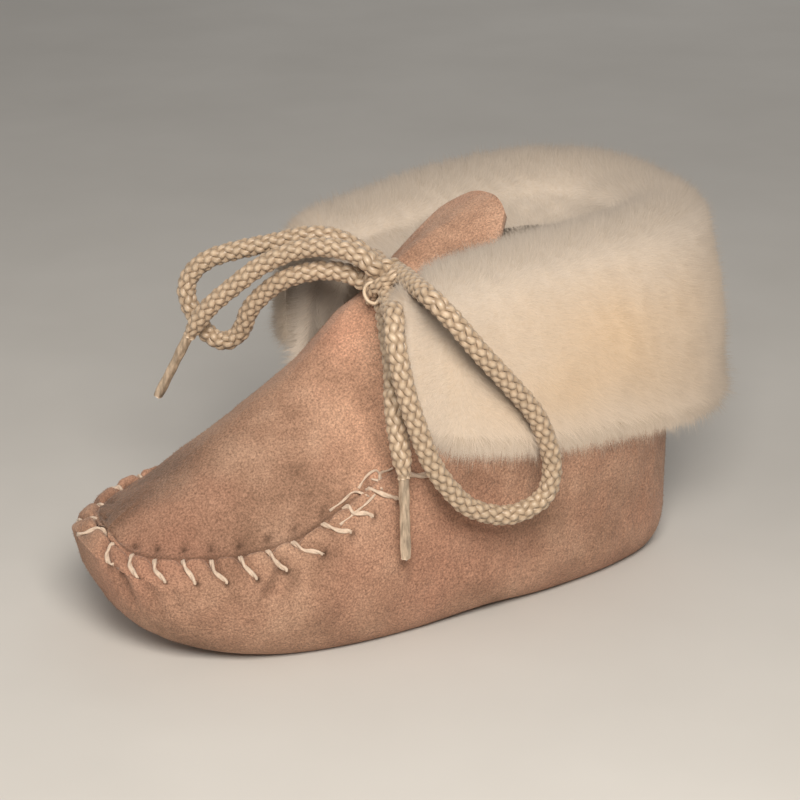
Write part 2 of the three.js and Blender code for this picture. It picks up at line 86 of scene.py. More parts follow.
# stitches along the seam, in millimetres from the toe, on the near (+Y) and the far side
NEAR_STITCHES = [4.6, 9.9, 14.8, 20.4, 25.7, 31.2, 36.8, 42.0, 48.3, 53.4, 58.9]
FAR_STITCHES = [1.2, 6.6, 13.2, 20.2, 26.7, 33.0, 39.2, 45.4, 51.6, 57.6, 63.0]
STITCHES = [(1, at) for at in NEAR_STITCHES] + [(-1, at) for at in FAR_STITCHES]
STITCH_DEEP = 4.2
# a stitch's slant at the toe and at the throat, and the places along the seam between which it changes
TOE_SLANT, THROAT_SLANT, SLANT_CHANGE = 0.55, 1.05, (37, 42)
WRAP_TURNS = 640
SHIFT = np.array([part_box("wrap")[0].x * 1000 + LENGTH / 2 + BACK_SEAM_RISE, 0, 0])


def read_table(rows, at):
    """The columns of a table at places along its first one, by a cubic that never overshoots its rows:
    the slope at a row is the harmonic mean of the rises beside it, and 0 at a turn or an end."""
    rows = np.asarray(rows, float)
    keys, values = rows[:, 0], rows[:, 1:]
    at = np.clip(at, keys[0], keys[-1])
    span = np.diff(keys)[:, None]
    rise = np.diff(values, axis=0) / span
    both = rise[:-1] * rise[1:]
    slope = np.zeros_like(values)
    slope[1:-1] = np.where(both > 0, 2 * both / np.where(both > 0, rise[:-1] + rise[1:], 1), 0)
    i = np.clip(np.searchsorted(keys, at, side="right") - 1, 0, len(keys) - 2)
    t = ((at - keys[i]) / span[i, 0])[..., None]
    read = values[i] * (1 + 2 * t) * (1 - t) ** 2 + values[i + 1] * (3 - 2 * t) * t**2
    read += span[i] * (slope[i] * t * (1 - t) ** 2 - slope[i + 1] * t**2 * (1 - t))
    return np.moveaxis(read, -1, 0)


def mix(a, b, share):
    """From a at share 0 to b at share 1, along a straight line."""
    return a + (b - a) * share


def smooth(value, low, high):
    """0 below low, 1 above high, and an S-shaped step between them."""
    t = np.clip((value - low) / (high - low), 0, 1)
    return t * t * (3 - 2 * t)


def bell(off, width):
    """1 where off is 0, falling to both sides as a Gaussian, to 0.37 at a width."""
    return np.exp(-((off / width) ** 2))


def unit(vectors):
    """The vectors at length 1."""
    return vectors / (np.linalg.norm(vectors, axis=-1, keepdims=True) + 1e-12)


def mirrored(turn):
    """The turn on the near side that faces a turn on either side."""
    return np.where(turn <= 180, turn, 360 - turn)


def side_of(turn):
    """1 for turns on the near side and -1 for turns on the far side."""
    return np.where(turn <= 180, 1, -1)


def run_along(path):
    """How far along a path each of its points lies: the sum of the steps before it."""
    return np.concatenate([[0], np.cumsum(np.linalg.norm(np.diff(path, axis=0), axis=-1))])


def ripple(points, wavelength, seed, columns=1):
    """Soft random numbers over space, mostly from -1 to 1: a sum of sine waves in random directions,
    divided by the size that such a sum usually has."""
    count, usual = 14, 5.3
    rng = np.random.default_rng(seed)
    ways = unit(rng.normal(size=(columns, count, 3))) * rng.uniform(0.6, 1.5, (columns, count, 1))
    phases = rng.uniform(0, 2 * np.pi, (columns, count))
    sums = [
        np.sin(points @ (way.T * 2 * np.pi / wavelength) + phase).sum(-1) / usual
        for way, phase in zip(ways, phases)
    ]
    return np.stack(sums, -1) if columns > 1 else sums[0]


def lumps(points, waves):
    """The unevenness of a soft surface: a sum of ripples, each with its height, wavelength and seed."""
    return sum(height * ripple(points, wavelength, seed) for height, wavelength, seed in waves)


def sole_height(x):
    """The underside of the sole along the foot: a sine-squared arch and a toe that lifts as a parabola."""
    waist = np.clip((x - ARCH_FROM) / (ARCH_TO - ARCH_FROM), 0, 1)
    spring = np.maximum(0, (x - SPRING_FROM) / (TOE_END["tread"] - SPRING_FROM))
    return ARCH_RISE * np.sin(np.pi * waist) ** 2 + SPRING_RISE * spring**2


def rib(turn, to_collar=False):
    """The guide points of the hide at a turn round the foot: on the sole's middle line, the tread line,
    the widest line and the top edge, which to_collar puts on the collar line all round. Each line is a
    squared-off oval, x by the cosine and y by the sine."""
    own = mirrored(turn)
    turned = np.cos(np.radians(own))
    toe = turned > 0
    power = np.where(toe, TOE_ROUND, HEEL_ROUND)
    cosine = np.sign(turned) * np.abs(turned) ** power
    half = np.abs(np.sin(np.radians(own))) ** power * side_of(turn) * BALL_WIDTH / 2
    end = {name: np.where(toe, TOE_END[name], HEEL_END[name]) * cosine for name in TOE_END}
    tread, widest, roll = read_table(RIBS, own)
    seam_side, seam_height = read_table(SEAM, own)
    collar_side, collar_height = read_table(COLLAR, own)
    climb = 1.0 if to_collar else smooth(own, THROAT_TURN, COLLAR_TURN)
    edge_side = mix(seam_side, collar_side, climb)
    edge_height = mix(seam_height, collar_height, climb)
    return (
        np.stack([end["spine"], 0 * half, sole_height(end["spine"])], -1),
        np.stack([end["tread"], half * tread, sole_height(end["tread"])], -1),
        np.stack([end["widest"], half * widest, roll], -1),
        np.stack([end["edge"], half * edge_side, edge_height], -1),
    )


def side_point(widest, edge, share):
    """The side between the widest line at 0 and the edge at 1: height goes evenly, the lean comes late."""
    point = mix(widest, edge, share[..., None] ** SIDE_LEAN)
    point[..., 2] = mix(widest[..., 2], edge[..., 2], share)
    return point


def wrap_outside(turn, place):
    """The outside of the hide on a grid: place 0 to 1 goes straight from the sole's middle to the tread,
    1 to 2 is a quarter ellipse round the roll, and 2 to 3 is the side. The back seam stands proud."""
    spine, tread, widest, edge = (guide[:, None] for guide in rib(turn))
    place = np.broadcast_to(place, (len(turn), len(place)))
    sole = mix(spine, tread, np.clip(place, 0, 1)[..., None])
    sole[..., 2] = sole_height(sole[..., 0])
    angle = np.clip(place - 1, 0, 1) * np.pi / 2
    roll = mix(tread, widest, np.sin(angle)[..., None])
    roll[..., 2] = mix(tread[..., 2], widest[..., 2], 1 - np.cos(angle))
    side = side_point(widest, edge, np.clip(place - 2, 0, 1))
    point = np.where(place[..., None] <= 1, sole, np.where(place[..., None] <= 2, roll, side))
    ridge = (1 - smooth(np.abs(turn - 180), *BACK_SEAM_SIDES))[:, None] * smooth(place, *BACK_SEAM_FOOT)
    point[..., 0] -= BACK_SEAM_RISE * ridge * (1 - smooth(point[..., 2], *BACK_SEAM_TOP))
    return point


def normals_of(grid, closed=False):
    """Unit normals of a grid of points, square to the differences of neighbours along both its ways."""
    across = np.roll(grid, -1, 0) - np.roll(grid, 1, 0) if closed else np.gradient(grid, axis=0)
    return unit(np.cross(across, np.gradient(grid, axis=1)))


def grid_faces(rows, columns, rows_closed=False, columns_closed=False):
    """Corner numbers of the four-sided faces of a grid, whose points are counted row by row."""
    i = np.arange(rows - (not rows_closed))[:, None]
    j = np.arange(columns - (not columns_closed))[None, :]
    i_next, j_next = (i + 1) % rows, (j + 1) % columns
    corners = [i * columns + j, i_next * columns + j, i_next * columns + j_next, i * columns + j_next]
    return np.stack([np.broadcast_to(c, (i.size, j.size)) for c in corners], -1).reshape(-1, 4)


def tube_faces(count, rings, sides):
    """Faces of count tubes of rings, each closed at both ends by one face that is wound to face inwards."""
    skin = grid_faces(rings, sides, columns_closed=True)[:, ::-1]
    caps = np.stack([np.arange(sides), (rings - 1) * sides + np.arange(sides)[::-1]])
    starts = np.arange(count)[:, None, None] * rings * sides
    return [(skin + starts).reshape(-1, 4), (caps + starts).reshape(-1, sides)]


def put_mesh(name, points, faces, material, normals=None, **fields):
    """A mesh object of points in millimetres. faces is a list of arrays of corner numbers, a row a face.
    normals, where given, shade each point as part of the surface that it grows from. fields are stored
    on the points, as numbers or as directions."""
    mesh = bpy.data.meshes.new(name)
    points = (np.asarray(points, float).reshape(-1, 3) + SHIFT) / 1000
    totals = np.concatenate([np.full(len(rows), rows.shape[1]) for rows in faces])
    corners = np.concatenate([rows.ravel() for rows in faces])
    mesh.vertices.add(len(points))
    mesh.vertices.foreach_set("co", points.astype(np.float32).ravel())
    mesh.loops.add(len(corners))
    mesh.loops.foreach_set("vertex_index", corners.astype(np.int32))
    mesh.polygons.add(len(totals))
    mesh.polygons.foreach_set("loop_start", (np.cumsum(totals) - totals).astype(np.int32))
    mesh.polygons.foreach_set("loop_total", totals.astype(np.int32))
    mesh.polygons.foreach_set("use_smooth", np.ones(len(totals), bool))
    mesh.update(calc_edges=True)
    for field, values in fields.items():
        values = np.asarray(values, np.float32)
        kind, key = ("FLOAT_VECTOR", "vector") if values.size == points.size else ("FLOAT", "value")
        mesh.attributes.new(field, kind, "POINT").data.foreach_set(key, values.ravel())
    if normals is not None:
        mesh.normals_split_custom_set_from_vertices(np.asarray(normals, np.float32).reshape(-1, 3))
    mesh.materials.append(material)
    made = bpy.data.objects.new(name, mesh)
    bpy.context.scene.collection.objects.link(made)
    return made


def closed_up(made):
    """Joins the points of a mesh that lie on each other, along the lines where a grid meets itself."""
    weld = made.modifiers.new("joined", "WELD")
    weld.merge_threshold = 2e-6
    return made


class Finish:
    """A material as a chain of nodes: each call adds one node and sets or links its sockets."""

    def __init__(self, name):
        self.material = bpy.data.materials.new(name)
        self.material.use_nodes = True
        self.tree = self.material.node_tree
        self.tree.nodes.clear()
        self.place = self.node("TexCoord").outputs["Object"]

    def node(self, kind, settings=(), **sockets):
        """A node with its settings, and its sockets set to a value or joined to another node's output."""
        made = self.tree.nodes.new("ShaderNode" + kind)
        for key, value in dict(settings).items():
            setattr(made, key, value)
        for key, value in sockets.items():
            index = int(key[1:]) if key[0] == "_" else key.replace("__", " ")
            if isinstance(value, bpy.types.NodeSocket):
                self.tree.links.new(value, made.inputs[index])
            else:
                made.inputs[index].default_value = value
        return made

    def noise(self, size, detail=3, stretch=(1, 1, 1), roughness=0.55):
        """Noise with features of about that size in millimetres, drawn out by stretch."""
        scale = tuple(1000 / size / s for s in stretch)
        moved = self.node("Mapping", Vector=self.place, Scale=scale).outputs[0]
        sockets = {"Vector": moved, "Scale": 1.0, "Detail": detail, "Roughness": roughness}
        return self.node("TexNoise", **sockets).outputs["Fac"]

    def ramp(self, value, *stops):
        """Colours, or grey levels, at places along a value."""
        made = self.node("ValToRGB", Fac=value)
        ramp = made.color_ramp
        while len(ramp.elements) < len(stops):
            ramp.elements.new(0.5)
        for element, (at, colour) in zip(ramp.elements, stops):
            element.position = at
            element.color = (*((colour,) * 3 if np.isscalar(colour) else colour), 1)
        return made.outputs["Color"]

    def blend(self, share, a, b, mode="MIX"):
        """Two colours blended by a share."""
        made = self.node("Mix", [("data_type", "RGBA"), ("blend_type", mode)])
        for index, value in ((0, share), (6, a), (7, b)):
            if isinstance(value, bpy.types.NodeSocket):
                self.tree.links.new(value, made.inputs[index])
            else:
                made.inputs[index].default_value = value if np.isscalar(value) else (*value, 1)
        return made.outputs[2]

    def math(self, operation, a, b=0.0, c=0.0):
        """One sum on numbers or outputs."""
        return self.node("Math", [("operation", operation)], _0=a, _1=b, _2=c).outputs[0]

    def field(self, name, kind="Fac"):
        """A number stored on the mesh's points or, where kind is Vector, a colour."""
        return self.node("Attribute", [("attribute_name", name)]).outputs[kind]

    def bump(self, height, strength, depth):
        """Relief of a depth in millimetres from a height between 0 and 1."""
        return self.node("Bump", Height=height, Strength=strength, Distance=depth / 1000).outputs[0]

    def hair(self, colour):
        """A fibre that is lit alike on both its faces by the normals stored on it: where a face is seen
        from behind, its normal is turned back, and a trace of light comes through it."""
        face = self.node("NewGeometry")
        turn = self.math("MULTIPLY_ADD", face.outputs["Backfacing"], -2.0, 1.0)
        normal = self.node("VectorMath", [("operation", "SCALE")], _0=face.outputs["Normal"], Scale=turn)
        front = self.node("BsdfDiffuse", Color=colour, Normal=normal.outputs[0])
        through = self.node("BsdfTranslucent", Color=(0.02, 0.02, 0.02, 1))
        return self.shown(self.node("AddShader", _0=front.outputs[0], _1=through.outputs[0]))

    def surface(self, **sockets):
        """A plain surface with these sockets."""
        return self.shown(self.node("BsdfPrincipled", **sockets))

    def shown(self, shader):
        """Joins a shader to the output and gives the finished material."""
        out = self.node("OutputMaterial")
        self.tree.links.new(shader.outputs[0], out.inputs["Surface"])
        return self.material


SUEDE_LIGHT = (0.52, 0.325, 0.225)
SUEDE_MID = (0.41, 0.242, 0.163)
SUEDE_DARK = (0.27, 0.155, 0.102)
SUEDE_FLUSH = (0.44, 0.222, 0.150)
# the colour of the painted shade in the gathers, at the needle holes and along the seams
PAINTED_SHADE_DARK = (0.06, 0.033, 0.022)


def suede_colour(finish):
    """Suede's colour: the nap in lighter and darker patches, a reddish flush and fine grain, with painted
    light and shade where the mesh stores it, and painted shade in the gathers, the needle holes and the
    seams."""
    patches = finish.ramp(finish.noise(11, 5), (0.3, SUEDE_DARK), (0.5, SUEDE_MID), (0.72, SUEDE_LIGHT))
    flush = finish.ramp(finish.noise(26, 2), (0.42, 0.0), (0.7, 0.6))
    flushed = finish.blend(flush, patches, SUEDE_FLUSH)
    grain = finish.ramp(finish.noise(0.38, 4, roughness=0.7), (0.32, 0.45), (0.68, 1.5))
    grained = finish.blend(0.85, flushed, grain, "MULTIPLY")
    # painted light and shade stored on the mesh, multiplied into the colour
    worn = finish.math("ADD", finish.field("worn"), 1.0)
    lit_and_shaded = finish.blend(1.0, grained, worn, "MULTIPLY")
    return finish.blend(finish.field("crease"), lit_and_shaded, PAINTED_SHADE_DARK)


def suede_finish(name):
    """Suede: rough, with a nap that scatters light at grazing angles and fine fibres in relief."""
    finish = Finish(name)
    nap = finish.math("ADD", finish.noise(0.45, 3, (1, 1, 1.4)), finish.noise(1.6, 3))
    return finish.surface(
        Base__Color=suede_colour(finish),
        Roughness=0.95,
        Specular__IOR__Level=0.12,
        Sheen__Weight=0.22,
        Sheen__Roughness=0.45,
        Sheen__Tint=(1, 0.84, 0.74, 1),
        Normal=finish.bump(nap, 0.8, 0.45),
    )


suede = suede_finish("suede")
turns = np.arange(WRAP_TURNS) * 360 / WRAP_TURNS
seam_turns = np.linspace(0, THROAT_TURN, 800)
seam_lengths = run_along(rib(seam_turns)[3])
PAST_THROAT = 1.5


def seam_place(turn):
    """How far along the seam from the toe a turn is, in millimetres. Past the throat it runs on, by the
    same length for each degree."""
    own = mirrored(turn)
    return np.interp(own, seam_turns, seam_lengths) + np.maximum(0, own - THROAT_TURN) * PAST_THROAT


# creases: turn; start below the edge; length; lean along the seam; width; depth
CREASES = [
    (13, 3.0, 12, 0.35, 1.1, 0.9),
    (23, 6.0, 8, 0.35, 0.9, 0.45),
    (31, 6.0, 9, 0.30, 1.0, 0.5),
    (62.5, 1.5, 10, -0.55, 1.4, 1.0),
    (66.0, 4.0, 9, -0.35, 1.2, 0.6),
    (48.5, 6.5, 6, 0.2, 0.9, 0.35),
    (340, 3.0, 10, 0.3, 1.2, 0.7),
    (318, 4.0, 9, 0.3, 1.0, 0.5),
    (296, 3.0, 11, -0.4, 1.3, 0.8),
]
# turn all round; how far the gathered edge is pressed down at the toe and stands up beyond the plug
EDGE_LIFT = [
    (0, -1.5),
    (15, -2.8),
    (30, -2.2),
    (45, -1.0),
    (60, -0.6),
    (80, 0),
    (280, 0),
    (297, 1.2),
    (312, 1.6),
    (325, 0.6),
    (340, -0.6),
    (360, -1.5),
]
EDGE_REACH = 6
# the gathers: least and greatest reach below the edge and depth, width at the edge and its growth below
# it, how much of the depth pulls the edge down and how far below, and the turns where they die away
GATHER_REACH, GATHER_DEPTH = (5, 10), (0.7, 1.15)
GATHER_WIDTH, GATHER_GROWTH = 1.0, 0.09
GATHER_PULL, PULL_REACH = 0.8, 3
GATHERS_END = (70, 84)
# how far the hide puffs out along the seam, how far below it, and the turns where that dies away
PUFF, PUFF_REACH, PUFF_END = 0.75, 5, (70, 85)
# unevenness as height, wavelength and seed, and the heights over which it begins above the sole
WRAP_LUMPS, LUMPS_BEGIN = [(0.3, 17, 11), (0.12, 6, 12)], (1.5, 6)
# a needle hole, painted as a spot of shade: how far below the stitch its middle lies, and its half width
# along and down
HOLE_BELOW, HOLE_ALONG, HOLE_DOWN = 0.5, 0.6, 0.75
# painted shade: how dark a gather is painted for each millimetre past a first depth, that depth, how dark a
# needle hole is painted, the rim's share of the darkness, and the most
GATHER_DARK, DARK_FROM, HOLE_DARK, RIM_DARK, MOST_DARK = 0.42, 0.25, 0.9, 0.7, 0.95


def stitch_slant(at):
    """How far a stitch runs along the seam for each millimetre that it runs down: more at the throat."""
    return mix(TOE_SLANT, THROAT_SLANT, smooth(at, *SLANT_CHANGE))


def gathers(turn, below):
    """How deep the gathered edge is drawn in, in millimetres: at each stitch a groove with a Gaussian
    section, slanted as the stitch is, that dies away down the side, and the longer creases likewise."""
    rng = np.random.default_rng(5)
    along = (side_of(turn) * seam_place(turn))[:, None]
    sewn = (1 - smooth(mirrored(turn), *GATHERS_END))[:, None]
    depth = np.zeros_like(below)
    for side, at in STITCHES:
        reach, deep = rng.uniform(*GATHER_REACH), rng.uniform(*GATHER_DEPTH)
        off = side * along - at - stitch_slant(at) * below
        width = GATHER_WIDTH + GATHER_GROWTH * below
        depth += deep * bell(off, width) * bell(below, reach) * sewn * (side * along > -2)
    for at, start, length, lean, width, deep in CREASES:
        off = along - side_of(at) * (seam_place(at) + lean * below)
        begun = smooth(below, start - 2, start + 2)
        ended = smooth(below, start + 0.5 * length, start + length)
        depth += deep * bell(off, width) * begun * (1 - ended)
    return depth


places = np.concatenate(
    [np.linspace(0, 1, 8)[:-1], np.linspace(1, 2, 13)[:-1], 2 + np.linspace(0, 1, 40) ** 0.85]
)
plain = wrap_outside(turns, places)
plain_out = normals_of(plain, closed=True)
steps_up = np.linalg.norm(np.diff(plain, axis=1), axis=-1)
below_edge = np.pad(np.cumsum(steps_up[:, ::-1], axis=1)[:, ::-1], ((0, 0), (0, 1)))
drawn = gathers(turns, below_edge)
puffed = PUFF * bell(below_edge, PUFF_REACH) * (1 - smooth(mirrored(turns), *PUFF_END))[:, None]
lifted = read_table(EDGE_LIFT, turns)[0][:, None] * bell(below_edge, EDGE_REACH)
pulled = GATHER_PULL * drawn * bell(below_edge, PULL_REACH)
uneven = lumps(plain, WRAP_LUMPS) * smooth(plain[..., 2], *LUMPS_BEGIN)
hide_out = plain + plain_out * (puffed - drawn + uneven)[..., None]
hide_out[..., 2] += lifted * smooth(places, 1.9, 2.4) - pulled * smooth(places, 2, 2.6)
edge_out = plain_out[:, -1]
edge_up = unit(hide_out[:, -1] - hide_out[:, -3])
rim_angles = np.radians(np.linspace(0, 180, 6))[1:-1]
rim = [
    hide_out[:, -1] + HIDE / 2 * (edge_out * (np.cos(angle) - 1) + 0.8 * edge_up * np.sin(angle))
    for angle in rim_angles
]
inner_columns = np.unique(np.linspace(0, len(places) - 1, 20).astype(int))[::-1]
hide_in = (hide_out - HIDE * plain_out)[:, inner_columns]
hide_in[:, -1, 1] = 0
wrap_grid = np.concatenate([hide_out, np.stack(rim, 1), hide_in], 1)
# painted shade: the wrap's colour is darkened in the gathers, at the needle holes and along the rim, where
# shade falls
needle_holes = np.zeros_like(drawn)
hole_depth = STITCH_DEEP + HOLE_BELOW
for side, at in STITCHES:
    off = (side * side_of(turns) * seam_place(turns))[:, None] - at - stitch_slant(at) * hole_depth
    needle_holes += bell(off, HOLE_ALONG) * bell(below_edge - hole_depth, HOLE_DOWN)
gather_dark = GATHER_DARK * np.maximum(0, drawn - DARK_FROM)
crease = np.clip(gather_dark + HOLE_DARK * needle_holes, 0, MOST_DARK)
rim_crease = np.repeat(crease[:, -1:] * RIM_DARK, len(rim), 1)
wrap_crease = np.concatenate([crease, rim_crease, np.zeros(hide_in.shape[:2])], 1)
wrap_faces = grid_faces(*wrap_grid.shape[:2], rows_closed=True)
wrap = closed_up(put_mesh("wrap_hide", wrap_grid, [wrap_faces], suede, crease=wrap_crease))
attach(wrap, "root")
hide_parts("wrap")


# The plug: a second piece of sheepskin, sewn to the wrap's edge from throat to toe to throat. It rises
# over the instep and runs up through the throat as the tongue, with its fleece on the foot's side.
FIT = 0.3
# turn; ridge x; ridge height; how roundly the sides fall
RIDGE = [
    (0, 57.9, 24.2, 2),
    (8, 57.2, 24.2, 2),
    (30, 48.5, 28.5, 2),
    (50, 37, 36.3, 1.9),
    (68, 20, 46.5, 1.7),
    (85, 6, 58.8, 1.5),
]
# place; ridge x; ridge height; bow; edge x, y and height
TONGUE = [
    (1, -1.5, 63.7, 1.5, 1, 17, 44),
    (2, -8, 68.6, 1.5, -5, 14, 56),
    (3, -15.5, 71.8, 1.6, -12, 12.5, 64),
    (4, -21.5, 75, 1.8, -19.5, 11, 71),
    (5, -25, 76.4, 2, -24, 6.5, 75),
]
PLUG_COLUMNS = 81
# how far its edge is tucked under the wrap's, and its unevenness as height, wavelength and seed
TUCKED = 2.3
PLUG_LUMPS, PLUG_LUMPS_BEGIN = [(0.32, 22, 21), (0.1, 7, 22)], (0.5, 6)
# a stitch's dimple and its needle hole: half width along the seam, place inside the edge, half width there
DIMPLE_ALONG, DIMPLE_INSIDE, DIMPLE_WIDE = 1.3, 1.6, 1.6
PRICK_ALONG, PRICK_INSIDE, PRICK_WIDE = 0.55, 1.8, 0.6
DIMPLE_DEEP = 0.5
# the lip that the edge is rolled up into and its width; the width of the seam's line of painted shade, and
# the turns where that ends
LIP, LIP_WIDE, SEWN_WIDE, SEWN_END = 0.5, 1.6, 0.55, (80, 85)
# how dark the painted shade in a dimple, a needle hole and the line of the seam is, and the most
DIMPLE_DARK, PRICK_DARK, SEWN_DARK, PLUG_DARKEST = 0.25, 0.7, 0.5, 0.85
# painted light and shade: paler by a share about one x of the instep's near side, and half that from the
# tongue's root on; darker by shares from one x to another over the instep, and over the far side of the toe
PALER, PALE_X, PALE_REACH, PALE_TONGUE = 0.4, 6, 13, (8, 18)
DARKER_INSTEP, INSTEP_X, DARKER_TOE, TOE_X = 0.16, (10, 24), 0.34, (24, 46)
across = np.linspace(-1, 1, PLUG_COLUMNS)


def arch(x, height, bow, edge):
    """Rows of the plug: from the ridge the height falls by a power of the share across, and x follows
    the square of that share, to the edge at each side."""
    x, height, bow = (column[:, None] for column in (x, height, bow))
    return np.stack(
        [
            mix(x, edge[:, :1], across**2),
            edge[:, 1:2] * across,
            mix(height, edge[:, 2:], np.abs(across) ** bow),
        ],
        -1,
    )


sewn_turns = np.concatenate([[0.6, 2.5, 5], np.linspace(8, THROAT_TURN, 17)])
sewn_edge = rib(sewn_turns)[3]
level = np.cross(rib(sewn_turns + 0.4)[3] - rib(sewn_turns - 0.4)[3], (0, 0, 1))
sewn_edge = sewn_edge - HIDE * unit(level * (1, 1, 0)) - (0, 0, FIT)
tongue_rows = read_table(TONGUE, np.linspace(1, 5, 9))
control_rows = np.concatenate(
    [arch(*read_table(RIDGE, sewn_turns), sewn_edge), arch(*tongue_rows[:3], tongue_rows[3:].T)]
)
row_keys = np.arange(len(control_rows))
fine_keys = np.linspace(0, row_keys[-1], 6 * row_keys[-1] + 1)
table_of_rows = np.concatenate([row_keys[:, None], control_rows.reshape(len(control_rows), -1)], 1)
plug_plain = np.moveaxis(read_table(table_of_rows, fine_keys), 0, -1).reshape(-1, PLUG_COLUMNS, 3)
plug_out = -normals_of(plug_plain)
plug_turns = np.interp(fine_keys, np.arange(len(sewn_turns)), sewn_turns)
own_edge = np.where((across > 0)[:, None], plug_plain[:, -1:], plug_plain[:, :1])
to_edge = np.linalg.norm(plug_plain - own_edge, axis=-1)
dimples, pricks = np.zeros((2, *to_edge.shape))
for side, at in STITCHES:
    off = (seam_place(plug_turns) - at)[:, None]
    on_side = side * across > 0
    dimples += bell(off, DIMPLE_ALONG) * bell(to_edge - DIMPLE_INSIDE, DIMPLE_WIDE) * on_side
    pricks += bell(off, PRICK_ALONG) * bell(to_edge - PRICK_INSIDE, PRICK_WIDE) * on_side
plug_uneven = lumps(plug_plain, PLUG_LUMPS) * smooth(to_edge, *PLUG_LUMPS_BEGIN)
all_round = np.where(across > 0, plug_turns[:, None], 360 - plug_turns[:, None])
plug_lift = read_table(EDGE_LIFT, all_round)[0] * bell(to_edge, EDGE_REACH)
plug_lip = LIP * bell(to_edge, LIP_WIDE) * (1 - smooth(plug_turns, *GATHERS_END))[:, None]
plug_top = plug_plain + plug_out * (plug_uneven + plug_lip - DIMPLE_DEEP * dimples)[..., None]
plug_top[..., 2] += plug_lift
plug_under = plug_top - HIDE * plug_out
tucked = mix(TUCKED, HIDE / 2, smooth(plug_turns, *GATHERS_END))
edges = []
for column in (-1, 0):
    middle = (plug_top[:, column] + plug_under[:, column]) / 2
    sideways = unit(plug_top[:, column] - plug_top[:, -2 if column else 1])
    arc = [
        middle + HIDE / 2 * plug_out[:, column] * np.cos(a) + sideways * (tucked * np.sin(a))[:, None]
        for a in rim_angles
    ]
    edges.append(np.stack(arc if column else arc[::-1], 1))
plug_grid = np.concatenate([plug_top, edges[0], plug_under[:, ::-1], edges[1]], 1)
plug_rows, plug_columns = plug_grid.shape[:2]
plug_crease, plug_worn = np.zeros((2, plug_rows, plug_columns))
# painted light on the instep's near side and the tongue, and painted shade over the instep and the toe's
# far side
plug_x = plug_top[..., 0]
paler = bell(plug_x - PALE_X, PALE_REACH) * smooth(across, -0.2, 0.3)
paler = np.maximum(paler, 0.5 * smooth(-plug_x, *PALE_TONGUE))
over_toe = smooth(plug_x, *TOE_X) * (1 - smooth(across, -0.1, 0.6))
darker = DARKER_INSTEP * smooth(plug_x, *INSTEP_X) + DARKER_TOE * over_toe
plug_worn[:, :PLUG_COLUMNS] = PALER * paler - darker
# painted shade: the plug's colour is darkened along the seam's line, in the stitches' dimples and at the
# needle holes
sewn_line = bell(to_edge, SEWN_WIDE) * (1 - smooth(plug_turns, *SEWN_END))[:, None]
plug_dark = DIMPLE_DARK * dimples + PRICK_DARK * pricks + SEWN_DARK * sewn_line
plug_crease[:, :PLUG_COLUMNS] = np.clip(plug_dark, 0, PLUG_DARKEST)
plug_faces = tube_faces(1, plug_rows, plug_columns)
plug = closed_up(put_mesh("plug_hide", plug_grid, plug_faces, suede, crease=plug_crease, worn=plug_worn))
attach(plug, "root")
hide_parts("plug")


# The seam: a white waxed thread of two plies, whipped by hand over the gathered edge. Each stitch comes
# up through the plug, passes over the edge and goes down into a needle hole in the wrap.
THREAD = 0.92
THREAD_LAY = 7.5
# a ply's distance from the thread's middle and its radius, as shares of the thread, and its sides
PLY_OFF, PLY_RADIUS, PLY_SIDES = 0.2, 0.33, 6
STITCH_POINTS = 26
THREAD_COLOUR = (0.78, 0.61, 0.47)


def curve_through(points, count):
    """Points evenly along a Catmull-Rom curve through given points: each span is the cubic whose slope
    at a point is half the step between its neighbours."""
    points = np.asarray(points, float)
    ends = np.concatenate([[2 * points[0] - points[1]], points, [2 * points[-1] - points[-2]]])
    t = np.linspace(0, len(points) - 1, 24 * (len(points) - 1) + 1)
    i = np.minimum(t.astype(int), len(points) - 2)
    u = (t - i)[:, None]
    p0, p1, p2, p3 = (ends[i + k] for k in range(4))
    bend = 2 * p0 - 5 * p1 + 4 * p2 - p3 + u * (3 * (p1 - p2) + p3 - p0)
    curve = p1 + 0.5 * u * (p2 - p0 + u * bend)
    run = run_along(curve)
    even = np.linspace(0, run[-1], count)
    return np.stack([np.interp(even, run, curve[:, k]) for k in range(3)], -1)


def square_to(path, reference):
    """Two unit directions square to a path and to each other, the first also square to a reference."""
    along = unit(np.gradient(path, axis=0))
    first = unit(np.cross(reference, along))
    return first, np.cross(along, first)


def tube(path, reference, radius, sides):
    """Rings of points round a path: a circle in the plane of its two square directions."""
    first, second = square_to(path, reference)
    angle = np.linspace(0, 2 * np.pi, sides, endpoint=False)[None, :, None]
    reach = np.broadcast_to(radius, len(path))[:, None, None]
    return path[:, None] + reach * (first[:, None] * np.cos(angle) + second[:, None] * np.sin(angle))


def plied(path, reference, diameter):
    """A two-ply thread: two tubes wound round the path as helices half a turn apart."""
    run = np.linspace(0, 1, len(path)) * run_along(path)[-1]
    first, second = square_to(path, reference)
    wound = []
    for start in (0, np.pi):
        angle = (2 * np.pi * run / THREAD_LAY + start)[:, None]
        centre = path + PLY_OFF * diameter * (first * np.cos(angle) + second * np.sin(angle))
        wound.append(tube(centre, reference, PLY_RADIUS * diameter, PLY_SIDES))
    return wound


def on_wrap(turn, below, proud=0.0):
    """The point of the finished hide at a turn and a distance below its edge, and proud of it."""
    i = int(round((turn % 360) / 360 * WRAP_TURNS)) % WRAP_TURNS
    j = int(np.abs(below_edge[i] - below).argmin())
    return hide_out[i, j] + plain_out[i, j] * proud


def turn_at(length, side):
    """The turn at a length along the seam."""
    own = float(np.interp(length, seam_lengths, seam_turns))
    return own if side > 0 else 360 - own


def on_plug(length, side, inside, proud=0.0):
    """The point of the plug beside a place along the seam, that far inside its edge, and proud of it."""
    i = int(np.abs(plug_turns - turn_at(length, 1)).argmin())
    half = slice(PLUG_COLUMNS // 2, None) if side > 0 else slice(0, PLUG_COLUMNS // 2 + 1)
    j = int(np.abs(to_edge[i, half] - inside).argmin()) + half.start
    return plug_top[i, j] + plug_out[i, j] * proud


